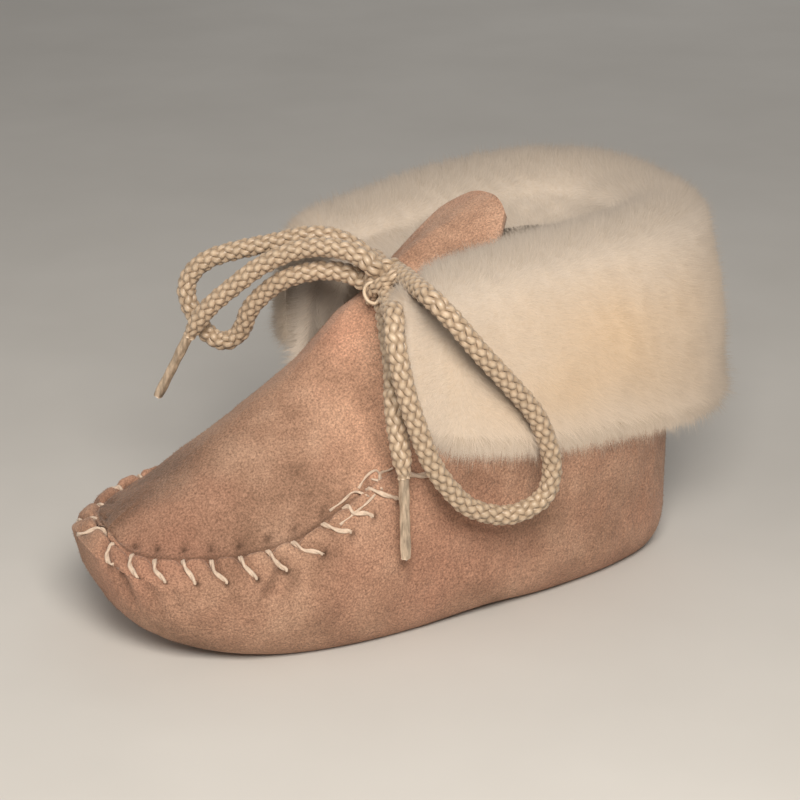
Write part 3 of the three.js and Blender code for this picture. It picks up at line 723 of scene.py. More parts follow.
def whip(length, side):
    """One stitch: up out of the plug, over the edge and slanting down the side into its hole."""
    slant = stitch_slant(length)
    ahead = length + slant * STITCH_DEEP
    over = on_wrap(turn_at(length, side), 0)
    return curve_through(
        [
            on_plug(length - 0.6, side, 0.9, -1.6),
            on_plug(length - 0.3, side, 0.2, -0.9),
            mix(over, on_plug(length - 0.2, side, 0.0), 0.4) + (0, 0, 0.25),
            on_wrap(turn_at(length + slant * 1.1, side), 1.1, 0.35),
            on_wrap(turn_at(length + slant * 2.6, side), 2.6, 0.35),
            on_wrap(turn_at(ahead, side), STITCH_DEEP, 0.0),
            on_wrap(turn_at(ahead + 0.3, side), STITCH_DEEP + 0.6, -1.0),
        ],
        STITCH_POINTS,
    )


thread_finish = Finish("thread")
thread_dark = tuple(0.72 * part for part in THREAD_COLOUR)
thread = thread_finish.surface(
    Base__Color=thread_finish.ramp(thread_finish.noise(1.2, 2), (0.3, thread_dark), (0.7, THREAD_COLOUR)),
    Roughness=0.6,
    Specular__IOR__Level=0.3,
    Sheen__Weight=0.2,
    Normal=thread_finish.bump(thread_finish.noise(0.2, 2, (1, 1, 3)), 0.4, 0.1),
)
plies = []
for side, at in STITCHES:
    plies += plied(whip(at, side), (1.0, 0.2, 0.3), THREAD)
# the thread is run doubled along the throat, caught in a small loop, and its tail left on the quarter:
# places along the seam in millimetres, how far below the edge (above 0) or inside the plug (below 0)
THROAT_RUNS = [
    [(49.5, -0.9), (52.5, -1.1), (55.5, -0.7), (57.5, 0.6)],
    [(51.0, 1.6), (54.0, 1.2), (57.0, 1.5), (59.5, 0.9)],
    [(57.0, -0.6), (59.0, -1.8), (61.0, -2.2), (62.2, -1.4), (61.6, -0.5), (60.0, -0.9)],
    [(60.6, 0.8), (62.0, -0.6), (63.6, -1.0), (65.2, -0.6)],
]
# the tail's turns and heights, and the thickness of the run and the tail as shares of the thread
TAIL = [(85.6, 33.0), (86.8, 33.4), (88.2, 33.2), (89.4, 32.6)]
RUN_THICK, TAIL_THICK = 0.55, 1.2
RUN_PROUD, TAIL_PROUD = 0.22, 0.3
ALONG_THROAT = (0.3, 1.0, 0.6)


def beside_seam(length, aside):
    """The point beside the near seam, below the wrap's edge or inside the plug's, where a run is laid."""
    if aside > 0:
        return on_wrap(turn_at(length, 1), aside, RUN_PROUD)
    return on_plug(length, 1, -aside, RUN_PROUD)


def on_quarter(turn, height, proud):
    """The point of the finished hide at a turn and a height, and proud of it."""
    i = int(round(turn / 360 * WRAP_TURNS))
    j = int(np.abs(hide_out[i, :, 2] - height).argmin())
    return hide_out[i, j] + plain_out[i, j] * proud


for throat_run in THROAT_RUNS:
    laid = curve_through([beside_seam(at, aside) for at, aside in throat_run], STITCH_POINTS)
    plies += plied(laid, ALONG_THROAT, RUN_THICK * THREAD)
tail = curve_through([on_quarter(turn, height, TAIL_PROUD) for turn, height in TAIL], STITCH_POINTS)
plies += plied(tail, ALONG_THROAT, TAIL_THICK * THREAD)
ply_faces = tube_faces(len(plies), STITCH_POINTS, PLY_SIDES)
stitching = put_mesh("whip_stitches", np.stack(plies), ply_faces, thread)
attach(stitching, "root")


# The lace: a round cord braided from twelve satin yarns. Its bars come out of the lace holes under the
# cuff and meet in a bow over the tongue: a knot, two loops and two free ends with film-wrapped tips.
LACE = 4.0
TIP = 2.6
# yarns wound each way, length of a yarn's turn, and length of a step along the braid
CARRIERS, LAY, BRAID_STEP = 6, 19.2, 0.4
# a yarn's distance from the middle and how far that swings; its half width, half thickness and corners
YARN_OUT, YARN_SWING = 1.22, 0.3
YARN_WIDE, YARN_THICK, YARN_CORNERS = 0.76, 0.5, 6
CORE_RADIUS, CORE_SIDES, CORE_EVERY = 1.05, 6, 3
# how deep a yarn lies halfway, how much that swings along it and how much it differs round it
SUNK, SUNK_ALONG, SUNK_ROUND = 0.55, 0.3, 0.25
# the braid's colours by depth: painted highlight on the yarns' tops, the lace's own colour halfway, and
# painted shade where yarns go under
LACE_HIGHLIGHT = (0.72, 0.56, 0.40)
LACE_MID = (0.50, 0.365, 0.245)
LACE_SHADE = (0.15, 0.095, 0.055)
# the routes of the lace's centreline; each loop leaves the knot's middle and comes back to it
KNOT = (1.4, 5.5, 65)
HOLE_TURN, HOLE_HEIGHT = 92.2, 57.5
NEAR_BAR_WAY = [(-3, 11, 61.8)]
FAR_BAR_WAY = [(-0.4, -0.5, 65.6), (-2.4, -6.5, 64.7), (-3.8, -11.5, 61.6)]
NEAR_LOOP_WAY = [
    (0.5, 9.0, 66.9),
    (3.7, 21.0, 68.8),
    (5.5, 30.5, 69.5),
    (2.7, 34.0, 65.7),
    (-1.7, 35.5, 59.7),
    (-7.9, 36.0, 52.3),
    (-13.2, 36.5, 45.5),
    (-16.2, 36.5, 38.8),
    (-17.4, 36.3, 33.3),
    (-16.3, 36.0, 28.3),
    (-12.2, 35.5, 25.8),
    (-7.1, 35.0, 25.6),
    (-0.8, 34.5, 28.4),
    (3.3, 34.0, 32.8),
    (7.0, 33.8, 38.6),
    (9.8, 33.5, 46.0),
    (11.6, 33.0, 52.0),
    (12.8, 32.5, 57.9),
    (13.1, 31.0, 63.1),
    (10.8, 26.0, 66.4),
    (6.8, 17.5, 63.7),
]
NEAR_END_WAY = [
    (2.6, 7.0, 61.0),
    (6.1, 15.0, 58.8),
    (9.3, 23.0, 54.8),
    (11.3, 27.0, 49.7),
    (11.6, 28.5, 45.4),
    (11.4, 30.0, 40.0),
    (11.2, 30.8, 35.6),
]
FAR_LOOP_WAY = [
    (3.4, 1.1, 68.5),
    (6.4, -3.9, 70.8),
    (10.6, -8.4, 70.9),
    (15.5, -13.6, 68.7),
    (20.6, -18.9, 66.5),
    (25.1, -23.3, 64.0),
    (27.8, -26.1, 60.5),
    (28.7, -26.8, 56.5),
    (27.7, -25.6, 52.0),
    (25.6, -23.3, 48.2),
    (23.2, -20.9, 47.3),
    (20.9, -18.7, 49.7),
    (19.8, -16.2, 55.0),
    (17.5, -13.1, 59.3),
    (14.8, -8.8, 62.9),
    (10.5, -4.2, 65.0),
    (6.8, -0.2, 65.1),
    (4.2, 2.6, 63.9),
]
FAR_END_WAY = [
    (4.7, 6.8, 68.1),
    (7.2, 3.9, 70.4),
    (10.8, -1.4, 70.6),
    (14.7, -6.5, 69.0),
    (19.4, -11.4, 65.3),
    (23.4, -15.5, 60.6),
    (27.2, -19.2, 55.7),
    (29.4, -21.4, 51.4),
    (30.4, -22.3, 49.1),
]


def wall_frame(turn, height):
    """The quarter's outside at a turn and height, run on up past the collar line's front, and the level
    direction out of it."""
    turn, height = np.broadcast_arrays(np.asarray(turn, float), np.asarray(height, float))
    guides = rib(turn, True)
    share = np.clip((height - guides[2][..., 2]) / (guides[3][..., 2] - guides[2][..., 2]), 0, 1)
    point = side_point(guides[2], guides[3], share)
    point[..., 2] = height
    ahead, behind = rib(turn + 0.4, True), rib(turn - 0.4, True)
    along = side_point(ahead[2], ahead[3], share) - side_point(behind[2], behind[3], share)
    return point, unit(np.stack([along[..., 1], -along[..., 0], 0 * along[..., 0]], -1))


def braid(path, reference, girth=1.0):
    """Yarns of a round braid: half wind one way round the path and half the other, as helices whose
    radius swings by a cosine so that each passes over one and under one. A yarn's section is an oval.
    Also gives how deep each point lies, from 0 on top to 1 under."""
    run = run_along(path)
    first, second = square_to(path, reference)
    carrier = np.arange(CARRIERS)[:, None]
    girth = np.broadcast_to(girth, len(path))[None, :, None]
    corner = np.radians(np.arange(YARN_CORNERS) * 360 / YARN_CORNERS)[:, None]
    wide, thick = YARN_WIDE * np.sin(corner), YARN_THICK * np.cos(corner)
    yarns, sunk = [], []
    for way in (1, -1):
        angle = 2 * np.pi * (carrier / CARRIERS + way * run / LAY)
        over = np.broadcast_to(way * np.cos(2 * np.pi * CARRIERS * run / LAY), angle.shape)
        radial = np.cos(angle)[..., None] * first + np.sin(angle)[..., None] * second
        centre = path + girth * (YARN_OUT + YARN_SWING * over)[..., None] * radial
        sideways = unit(np.cross(unit(np.gradient(centre, axis=1)), radial))
        ring = radial[:, :, None] * thick + sideways[:, :, None] * wide
        yarns.append(centre[:, :, None] + girth[..., None] * ring)
        sunk.append(SUNK - SUNK_ALONG * over[..., None] - SUNK_ROUND * np.cos(corner[:, 0]))
    return np.concatenate(yarns), np.clip(np.concatenate(sunk), 0, 1)


def put_lace(name, path, reference, girth=1.0):
    """A length of the lace: its braided yarns round a core."""
    yarns, sunk = braid(path, reference, girth)
    core_path = path[::CORE_EVERY]
    core_girth = np.broadcast_to(girth, len(path))[::CORE_EVERY]
    core_reference = np.broadcast_to(reference, path.shape)[::CORE_EVERY]
    core = tube(core_path, core_reference, CORE_RADIUS * core_girth, CORE_SIDES)
    core_faces = [rows + yarns.size // 3 for rows in tube_faces(1, len(core_path), CORE_SIDES)]
    points = np.concatenate([yarns.reshape(-1, 3), core.reshape(-1, 3)])
    # the core takes the deepest value, so it is painted in the colour of the shade between the yarns
    deep = np.concatenate([sunk.ravel(), np.ones(core.size // 3)])
    made = put_mesh(name, points, tube_faces(*yarns.shape[:3]) + core_faces, lace_braid, deep=deep)
    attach(made, "root")
    return made


def lace_path(points):
    """A lace's centreline, evenly stepped."""
    rough = curve_through(points, 400)
    return curve_through(points, int(run_along(rough)[-1] / BRAID_STEP) + 2)


def metres(points):
    """Points of this script in the frame's own place and unit."""
    return ((np.asarray(points, float) + SHIFT) / 1000).tolist()


lace_finish = Finish("lace_braid")
# painted highlight on the yarns' tops and painted shade where they go under, on their inner sides and on
# the core
satin = lace_finish.ramp(lace_finish.field("deep"), (0.0, LACE_HIGHLIGHT), (0.2, LACE_MID), (0.85, LACE_SHADE))
handled = lace_finish.ramp(lace_finish.noise(2.2, 2), (0.3, 0.82), (0.7, 1.0))
lace_braid = lace_finish.surface(
    Base__Color=lace_finish.blend(1.0, satin, handled, "MULTIPLY"),
    Roughness=0.36,
    Specular__IOR__Level=0.55,
    Sheen__Weight=0.15,
    Normal=lace_finish.bump(lace_finish.noise(0.16, 2), 0.3, 0.08),
)
loop_near_path = lace_path([KNOT, *NEAR_LOOP_WAY, KNOT])
loop_far_path = lace_path([KNOT, *FAR_LOOP_WAY, KNOT])
end_near_path = lace_path([KNOT, *NEAR_END_WAY])
end_far_path = lace_path([KNOT, *FAR_END_WAY])
hole_point, hole_out = wall_frame(HOLE_TURN, HOLE_HEIGHT)
for side, name, way in ((1, "near", NEAR_BAR_WAY), (-1, "far", FAR_BAR_WAY)):
    into = [(hole_point - hole_out * HIDE * deep) * (1, side, 1) for deep in (2.4, 1.4, 0.3)]
    bar = put_lace(f"lace_bar_{name}_braid", lace_path([KNOT, *way, *into]), (0.2, 0.1, 1.0))
    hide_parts(f"lace_bar_{name}")


def drawn_in(path, over=4.0):
    """The girth of a free end, which narrows to its tip over its last millimetres."""
    left = np.linspace(run_along(path)[-1], 0, len(path))
    return mix(TIP / LACE, 1, smooth(left, 0, over))


# the near loop's braid is squared to the knot at both ends and to the loop's own plane between them
near_run = np.linspace(0, run_along(loop_near_path)[-1], len(loop_near_path))
near_ends = 1 - smooth(np.minimum(near_run, near_run[::-1]), 22, 36)[:, None]
near_reference = mix(np.array([0.15, 1.0, 0.1]), np.array([1.0, 0.0, 0.3]), near_ends)
loop_near = put_lace("lace_loop_near_braid", loop_near_path, near_reference)
loop_far = put_lace("lace_loop_far_braid", loop_far_path, (0.75, 0.65, 0.1))
end_near = put_lace("lace_end_near_braid", end_near_path, (1.0, 0.2, 0.3), drawn_in(end_near_path))
end_far = put_lace("lace_end_far_braid", end_far_path, (0.7, 0.7, 0.1), drawn_in(end_far_path))


# The knot: the lace wound one and a half times round the bars, with one strand laid over the winding and
# a single yarn pulled loose from it.
KNOT_AXIS = unit(np.array([0.25, 0.9, -0.35]))
KNOT_RADIUS, KNOT_PITCH = 2.7, 3.2
# where the winding begins, is level with the knot's middle, and ends, in turns
WIND_FROM, WIND_MIDDLE, WIND_TO = -0.2, 0.6, 1.35
BAND_GIRTH, OVER_GIRTH = 0.88, 0.74
KNOT_OVER_WAY = [
    (3.7, 4.1, 60.7),
    (5.0, 7.5, 63.8),
    (4.2, 10.7, 66.3),
    (2.4, 12.4, 67.9),
    (-0.4, 10.9, 66.5),
    (-1.9, 8.1, 63.8),
]
LOOSE_YARN_WAY = [
    (5.1, 8.3, 65.8),
    (6.5, 7.8, 65.3),
    (7.1, 7.6, 63.8),
    (6.8, 8.5, 62.3),
    (5.8, 9.7, 62.0),
    (4.8, 9.8, 63.1),
]
LOOSE_RADIUS, LOOSE_POINTS, LOOSE_SIDES = 0.33, 40, 8
KNOT_FACING = (0.43, 0.81, 0.39)
knot_up = unit(np.cross(KNOT_AXIS, (1.0, 0, 0.2)))
knot_side = np.cross(KNOT_AXIS, knot_up)
wind = np.linspace(WIND_FROM, WIND_TO, 60)[:, None] * 2 * np.pi
band_path = KNOT + KNOT_AXIS * (wind / (2 * np.pi) - WIND_MIDDLE) * KNOT_PITCH
band_path = band_path + KNOT_RADIUS * (np.cos(wind) * knot_up + np.sin(wind) * knot_side)
knot = put_lace("lace_knot_braid", lace_path(band_path[::6]), KNOT_AXIS, BAND_GIRTH)
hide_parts("lace_knot")
over_knot = put_lace("lace_knot_over_braid", lace_path(KNOT_OVER_WAY), KNOT_FACING, OVER_GIRTH)
loose = tube(curve_through(LOOSE_YARN_WAY, LOOSE_POINTS), KNOT_FACING, LOOSE_RADIUS, LOOSE_SIDES)
loose_yarn = put_mesh("lace_knot_loose_yarn", loose, tube_faces(1, LOOSE_POINTS, LOOSE_SIDES), lace_braid)
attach(loose_yarn, "root")


# The tips: clear film shrunk hard round the lace's free ends, so that the yarns show through it as
# streaks. Each is pushed a little way over its end.
NEAR_TIP_WAY = [(11.2, 30.8, 35.2), (11.3, 31.5, 19.5)]
FAR_TIP_WAY = [(30.7, -22.6, 48.5), (35.7, -27.1, 35.7)]
TIP_OVERLAP = 0.12
TIP_SHRUNK = 0.78
TIP_RINGS, TIP_SIDES = 40, 24
TIP_COLOUR = (0.60, 0.46, 0.33)
tip_finish = Finish("lace_tip_film")
tip_dark = tuple(0.5 * part for part in TIP_COLOUR)
streaks = tip_finish.ramp(tip_finish.noise(0.8, 3, (1, 1, 4)), (0.35, tip_dark), (0.62, TIP_COLOUR))
tip_film = tip_finish.surface(
    Base__Color=streaks,
    Roughness=0.32,
    Coat__Weight=0.35,
    Coat__Roughness=0.2,
    Normal=tip_finish.bump(tip_finish.noise(0.9, 2, (1, 1, 4)), 0.5, 0.25),
)


def tip_rings(top, foot):
    """Rings of a tip along a straight line: its radius swells by two sines, with a lip at the top and a
    foot rubbed thinner, and it is fluted by a cosine that winds round it."""
    share = np.linspace(0, 1, TIP_RINGS)[:, None]
    path = mix(top, foot, share)
    waves = 0.05 * np.sin(9 * share[:, 0]) + 0.04 * np.sin(23 * share[:, 0] + 1)
    radius = TIP_SHRUNK * TIP / 2 * (1 + waves)
    radius[:3] *= (1.04, 1.08, 1.04)
    radius[-2:] *= (0.98, 0.92)
    rings = tube(path, (1.0, 0.3, 0.1), radius, TIP_SIDES)
    angle = np.linspace(0, 2 * np.pi, TIP_SIDES, endpoint=False)
    flute = 0.94 + 0.07 * np.cos(angle * 5 + 4 * share)
    return mix(path[:, None], rings, flute[..., None])


tips = {}
for name, way in (("near", NEAR_TIP_WAY), ("far", FAR_TIP_WAY)):
    top, foot = np.array(way)
    rings = tip_rings(top + TIP_OVERLAP * (top - foot), foot)
    tips[name] = put_mesh(f"lace_tip_{name}_film", rings, tube_faces(1, TIP_RINGS, TIP_SIDES), tip_film)
    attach(tips[name], "root")
    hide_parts(f"lace_tip_{name}")

for made, path, nodes, far_end, pieces in (
    (loop_near, loop_near_path, ["lace_loop_near"], "knot", [knot, over_knot, loose_yarn]),
    (loop_far, loop_far_path, ["lace_loop_far"], "knot", []),
    (end_near, end_near_path, ["lace_end_near"], "fitting", [tips["near"]]),
    (end_far, end_far_path, ["lace_end_far"], "fitting", [tips["far"]]),
):
    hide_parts(*nodes)
    metres(path[0])
    run_along(path)[-1] / 1000
    metres(path)
    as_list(pieces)


# The cuff: the collar of the hide turned down, fleece outwards, as a thick flap round the heel and sides.
# The fleece is a dense shorn pile of fine wool that grows out of the hide and closes into a plush.
SLOT = 0.6
PILE, LINING = 8, 5
CUFF_FRONT_TURN = 86
CUFF_LOFT = 6.5
# turn; hem height; stand-off of the flap's middle; share of the pile; depth of the lip inside
CUFF = [
    (86, 42, 0.5, 0.6, 2),
    (90.5, 39.5, 1, 0.92, 2.5),
    (98, 37.5, 1.5, 1, 8),
    (115, 36.5, 2, 1, 8),
    (150, 33.5, 3, 1.05, 8),
    (180, 30.5, 3.5, 1.05, 8),
]
# how far round its sine the flap's belly goes, and how low it hangs; the round of the hem
BELLY, BELLY_LOW = 2.5, 1.15
HEM_ROUND = 3
# how deep under the pile the fibres are rooted, and the unevenness of that skin
ROOT_DEEP = 1.7
CUFF_LUMPS = [(0.3, 15, 31), (0.12, 5, 32)]
# the turn where the fleece is yellowest and how far round that spreads; turns over which the front fans
WARMEST_TURN, WARM_SPREAD = 117, 26
FAN_TURNS, FAN_LEAN = 6, (1.6, 0, 0)
FRONT_ROUND = 2.0
# fibres: sizes of the tufts, share and length of strays, range of lengths and widths, length of pressed
# fibres and the distance from the lace where that ends
TUFTS = (7, 2.4)
STRAYS, STRAY_LENGTH = 0.1, 1.45
LENGTHS, WIDTHS = (0.65, 1.1), (0.7, 1.3)
PRESSED_LENGTH, PRESSED_END = 0.45, (1.7, 2.6)
FLEECE_WHITE = np.array([0.65, 0.56, 0.475])
FLEECE_WARM = np.array([0.685, 0.53, 0.385])
FLEECE_DEEP = (0.90, 0.86, 0.80)


def flap_stand(height, top, hem, flare):
    """How far the flap stands off the quarter at a height: it bellies out by a sine from top to hem."""
    return SLOT + flare * np.sin(BELLY * np.clip((top - height) / (top - hem), 0, 1) ** BELLY_LOW)


def cuff_outline(turn, place, deep):
    """The cuff's surface at a depth under its pile: place 0 to 1 climbs the lip inside the collar, 1 to 2
    is half an ellipse over the fold, 2 to 3 falls down the flap, and 3 to 4 is a quarter ellipse round
    the hem."""
    own = mirrored(turn)
    hem, flare, share, lip = read_table(CUFF, own)
    top = rib(own, True)[3][..., 2]
    pile, lining = PILE * share, LINING * share
    inside = -(HIDE + SLOT)
    part = [np.clip(place - k, 0, 1) for k in range(4)]
    reach = (lining - inside + pile + SLOT) / 2
    middle = (pile + SLOT + inside - lining) / 2
    rise = CUFF_LOFT * (0.5 + 0.5 * share)
    over = np.pi * (1 - part[1])
    low = hem + HEM_ROUND
    flap = mix(top, low, part[2])
    round_hem = np.pi / 2 * part[3]
    out_hem = flap_stand(hem, top, hem, flare) + 0.25 * pile
    out_low = flap_stand(low, top, hem, flare) + 0.95 * pile
    out_flap = flap_stand(flap, top, hem, flare) + pile * (0.95 + 0.05 * np.cos(np.pi * part[2]))
    outs = [
        inside - lining + deep,
        middle + (reach - deep) * np.cos(over),
        out_flap - deep,
        mix(out_hem, out_low - deep, np.cos(round_hem)),
    ]
    heights = [
        mix(top - lip + 0.5, top, part[0]),
        top + (rise - 0.8 * deep) * np.sin(over),
        flap,
        low - (3.4 - 0.6 * deep) * np.sin(round_hem),
    ]
    choose = [place <= 1, place <= 2, place <= 3]
    out = np.select(choose, outs[:3], outs[3])
    height = np.select(choose, heights[:3], heights[3])
    point, away = wall_frame(own, height)
    point = point + away * out[..., None]
    point[..., 1] *= side_of(turn)
    return point


def scatter(grid, count, rng, weight=1.0):
    """Draws roots evenly over a grid of points, cell by cell in proportion to area, and gives a function
    that reads any field of that grid at them."""
    a, b, c, d = grid[:-1, :-1], grid[1:, :-1], grid[:-1, 1:], grid[1:, 1:]
    area = np.linalg.norm(np.cross(d - a, c - b), axis=-1) * weight
    cell = rng.choice(area.size, count, p=(area / area.sum()).ravel())
    i, j = np.divmod(cell, grid.shape[1] - 1)
    u, v = rng.random((2, count, 1))

    def at(field):
        return (
            field[i, j] * (1 - u) * (1 - v)
            + field[i + 1, j] * u * (1 - v)
            + field[i, j + 1] * (1 - u) * v
            + field[i + 1, j + 1] * u * v
        )

    return at


def lit_as_pile(out):
    """The normals that light a pile whose fibres stand along out: tilted up from it, because the ends of
    the fibres take the light from above."""
    return unit(0.6 * out + (0, 0, 0.7))


def fibres(
    name, root, out, material, length, width, seed,
    nap=0, clump=0.13, spread=0.15, warm=0.0, pressed=None,
):
    """Fibres, each a thin triangle from its root to a point. A fibre leaves the surface along its normal,
    leaned by the nap, by soft noise that draws neighbours into tufts and by chance. Where something
    presses on the pile, its fibres are short."""
    rng = np.random.default_rng(seed)
    count = len(root)
    tuft = sum(clump * ripple(root, size, seed + k, 3) for k, size in enumerate(TUFTS))
    way = unit(out + nap + tuft + rng.normal(0, spread, (count, 3)))
    stray = np.where(rng.random(count) < STRAYS, STRAY_LENGTH, 1)
    long = (length * stray * rng.uniform(*LENGTHS, count))[:, None]
    if pressed is not None:
        clear = np.min([np.linalg.norm(root + long * way - point, axis=-1) for point in pressed], axis=0)
        long = long * mix(PRESSED_LENGTH, 1, smooth(clear, *PRESSED_END))[:, None]
    sideways = unit(np.cross(way, rng.normal(size=(count, 3))))
    half = (width / 2 * rng.uniform(*WIDTHS, count))[:, None] * sideways
    points = np.stack([root - half, root + half, root + long * way], 1)
    made = put_mesh(
        name,
        points,
        [np.arange(3 * count).reshape(-1, 3)],
        material,
        np.repeat(lit_as_pile(out), 3, axis=0),
        along=np.tile((0, 0, 1), count),
        tint=np.repeat(rng.random(count), 3),
        tone=np.repeat(fleece_tone(np.broadcast_to(warm, count), out), 3, axis=0),
    )
    made.visible_shadow = made.visible_diffuse = made.visible_transmission = False
    made.shadow_terminator_geometry_offset = 0
    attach(made, "root")
    return made


def fleece_tone(warm, out):
    """Wool's colour over a surface: white, yellower where the pile is thickest, and greyer where the pile
    takes its own shade: a little where it stands upright, and more where it hangs."""
    tone = mix(FLEECE_WHITE, FLEECE_WARM, np.asarray(warm)[..., None])
    upright = smooth(out[..., 2:], 0.2, 0.9)
    hung = smooth(-out[..., 2:], -0.2, 0.3)
    return tone * (1 - 0.1 * upright - 0.22 * hung)


def fleece_finish(name):
    """Wool: deeper in colour at the root than at the tip, each fibre a little lighter or darker than the
    next."""
    finish = Finish(name)
    along = finish.ramp(finish.field("along"), (0.0, FLEECE_DEEP), (0.7, 1.0))
    tint = finish.ramp(finish.field("tint"), (0.0, 0.84), (1.0, 1.08))
    rooted = finish.blend(1.0, finish.field("tone", "Vector"), along, "MULTIPLY")
    return finish.hair(finish.blend(1.0, rooted, tint, "MULTIPLY"))


fleece = fleece_finish("fleece")
cuff_turns = np.linspace(CUFF_FRONT_TURN, 360 - CUFF_FRONT_TURN, 241)
cuff_places = np.linspace(0, 4, 65)
turn_grid, place_grid = np.meshgrid(cuff_turns, cuff_places, indexing="ij")
skin = cuff_outline(turn_grid, place_grid, ROOT_DEEP)
for _ in range(6):
    skin[:, 1:-1] = (skin[:, :-2] + 2 * skin[:, 1:-1] + skin[:, 2:]) / 4
skin = skin - normals_of(skin) * lumps(skin, CUFF_LUMPS)[..., None]
skin_out = -normals_of(skin)
thick = smooth(place_grid, 1.75, 2.45) * (1 - 0.45 * smooth(place_grid, 2.7, 3.1))
yellow = 0.2 + 0.8 * bell(mirrored(turn_grid) - WARMEST_TURN, WARM_SPREAD)
warmth = thick * yellow * (1 + 0.3 * ripple(skin, 16, 33))
fanned = 1 - smooth(mirrored(turn_grid), CUFF_FRONT_TURN, CUFF_FRONT_TURN + FAN_TURNS)[..., None]


def pressed_in(points, out, cord, clearance):
    """Points of a surface pushed in along their normals to clear a cord: by what its underside lies below
    the surface, 4 mm at most, fading away to both sides as a Gaussian."""
    apart = cord - points[..., None, :]
    above = (apart * out[..., None, :]).sum(-1)
    aside = (apart**2).sum(-1) - above**2
    push = np.where(above > -3, np.clip(clearance - above, 0, 4), 0) * np.exp(-aside / clearance**2)
    return points - out * push.max(-1)[..., None]


bow_paths = (loop_near_path, end_near_path, loop_far_path, end_far_path)
laid_on = np.concatenate([path[::CORE_EVERY] for path in bow_paths])
skin = pressed_in(skin, skin_out, laid_on, LACE / 2 + 0.3)
core_finish = Finish("fleece_core")
felted = core_finish.ramp(core_finish.noise(0.8, 3), (0.3, FLEECE_DEEP), (0.7, 0.99))
core = core_finish.surface(
    Base__Color=core_finish.blend(1.0, core_finish.field("tone", "Vector"), felted, "MULTIPLY"),
    Roughness=1.0,
    Specular__IOR__Level=0.05,
)
cuff_own = mirrored(cuff_turns)[:, None]
cuff_hem, cuff_flare, _, cuff_lip = read_table(CUFF, cuff_own)
collar = rib(cuff_own, True)[3][..., 2]
flap_heights = mix(cuff_hem + 1, collar + SLOT, np.linspace(0, 1, 6))
flap_off = flap_stand(flap_heights, collar, cuff_hem, cuff_flare)
inner_heights = np.concatenate([flap_heights, collar + SLOT, collar - cuff_lip], 1)
inner_off = np.concatenate([flap_off, np.full((len(flap_off), 2), -(HIDE + SLOT))], 1)
facing, away = wall_frame(cuff_own, inner_heights)
facing = facing + away * inner_off[..., None]
facing[..., 1] *= side_of(cuff_turns)[:, None]
cuff_rings = np.concatenate([skin, facing], 1)
dome_angles = np.radians([85, 70, 50, 25])


def front_dome(ring):
    """The rounded front end of the flap: its last ring drawn in to its middle by a cosine, and forward by
    a sine."""
    drawn_to = mix(ring.mean(0), ring, np.cos(dome_angles)[:, None, None])
    return drawn_to + FRONT_ROUND * np.sin(dome_angles)[:, None, None] * (1, 0, 0)


domes = [front_dome(cuff_rings[0]), front_dome(cuff_rings[-1])[::-1]]
cuff_grid = np.concatenate([domes[0], cuff_rings, domes[1]])
cuff_tone = np.zeros_like(cuff_grid) + FLEECE_WHITE
cuff_tone[len(domes[0]) : -len(domes[1]), : skin.shape[1]] = fleece_tone(warmth, skin_out)
cuff_lit = lit_as_pile(-normals_of(cuff_grid))
cuff_skin, cuff_caps = tube_faces(1, *cuff_grid.shape[:2])
cuff_faces = [cuff_skin, cuff_caps[:, ::-1]]
cuff = put_mesh("cuff_flap", cuff_grid, cuff_faces, core, cuff_lit, tone=cuff_tone)
cuff.visible_diffuse = cuff.visible_transmission = False
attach(cuff, "root")
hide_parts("cuff")

CUFF_FIBRES, FOLD_FIBRES, FRONT_FIBRES, INNER_FIBRES = 120000, 104000, 16000, 8000
cuff_out = unit(skin_out + fanned * FAN_LEAN)
hanging = smooth(place_grid, 2.75, 3.1)
outside = cuff_places >= 1.8
for seed, (name, half) in enumerate((("left", cuff_turns <= 180), ("right", cuff_turns >= 180))):
    part = np.ix_(half, outside)
    at = scatter(skin[part], CUFF_FIBRES, np.random.default_rng(40 + seed))
    hung = at(hanging[part][..., None])
    fibres(
        f"fleece_cuff_{name}", at(skin[part]), at(cuff_out[part]), fleece,
        length=2.8 * (1 + 0.6 * hung[:, 0]), width=0.085, seed=50 + seed, nap=hung * (0, 0, -0.3),
        warm=at(warmth[part][..., None])[:, 0], pressed=laid_on,
    )
folded = cuff_places <= 2.0
at = scatter(skin[:, folded], FOLD_FIBRES, np.random.default_rng(60))
fibres(
    "fleece_fold", at(skin[:, folded]), at(skin_out[:, folded]), fleece,
    length=2.9, width=0.09, seed=61, warm=at(warmth[:, folded][..., None])[:, 0], pressed=laid_on,
)
# the rounded front ends, and the flap's facing just behind them
left_front = ("left", cuff_grid[:9], cuff_grid[4:18, -8:])
right_front = ("right", cuff_grid[-9:], cuff_grid[-18:-4, -8:])
for seed, (name, front, inner) in enumerate((left_front, right_front)):
    roots, outs = [], []
    for grid, count in ((front, FRONT_FIBRES), (inner, INNER_FIBRES)):
        at = scatter(grid, count, np.random.default_rng(70 + seed))
        roots.append(at(grid))
        outs.append(-at(normals_of(grid)))
    fibres(
        f"fleece_front_{name}", np.concatenate(roots), np.concatenate(outs), fleece,
        length=2.8, width=0.1, seed=72 + seed, nap=np.array([0.3, 0, 0]), warm=0.3, pressed=laid_on,
    )


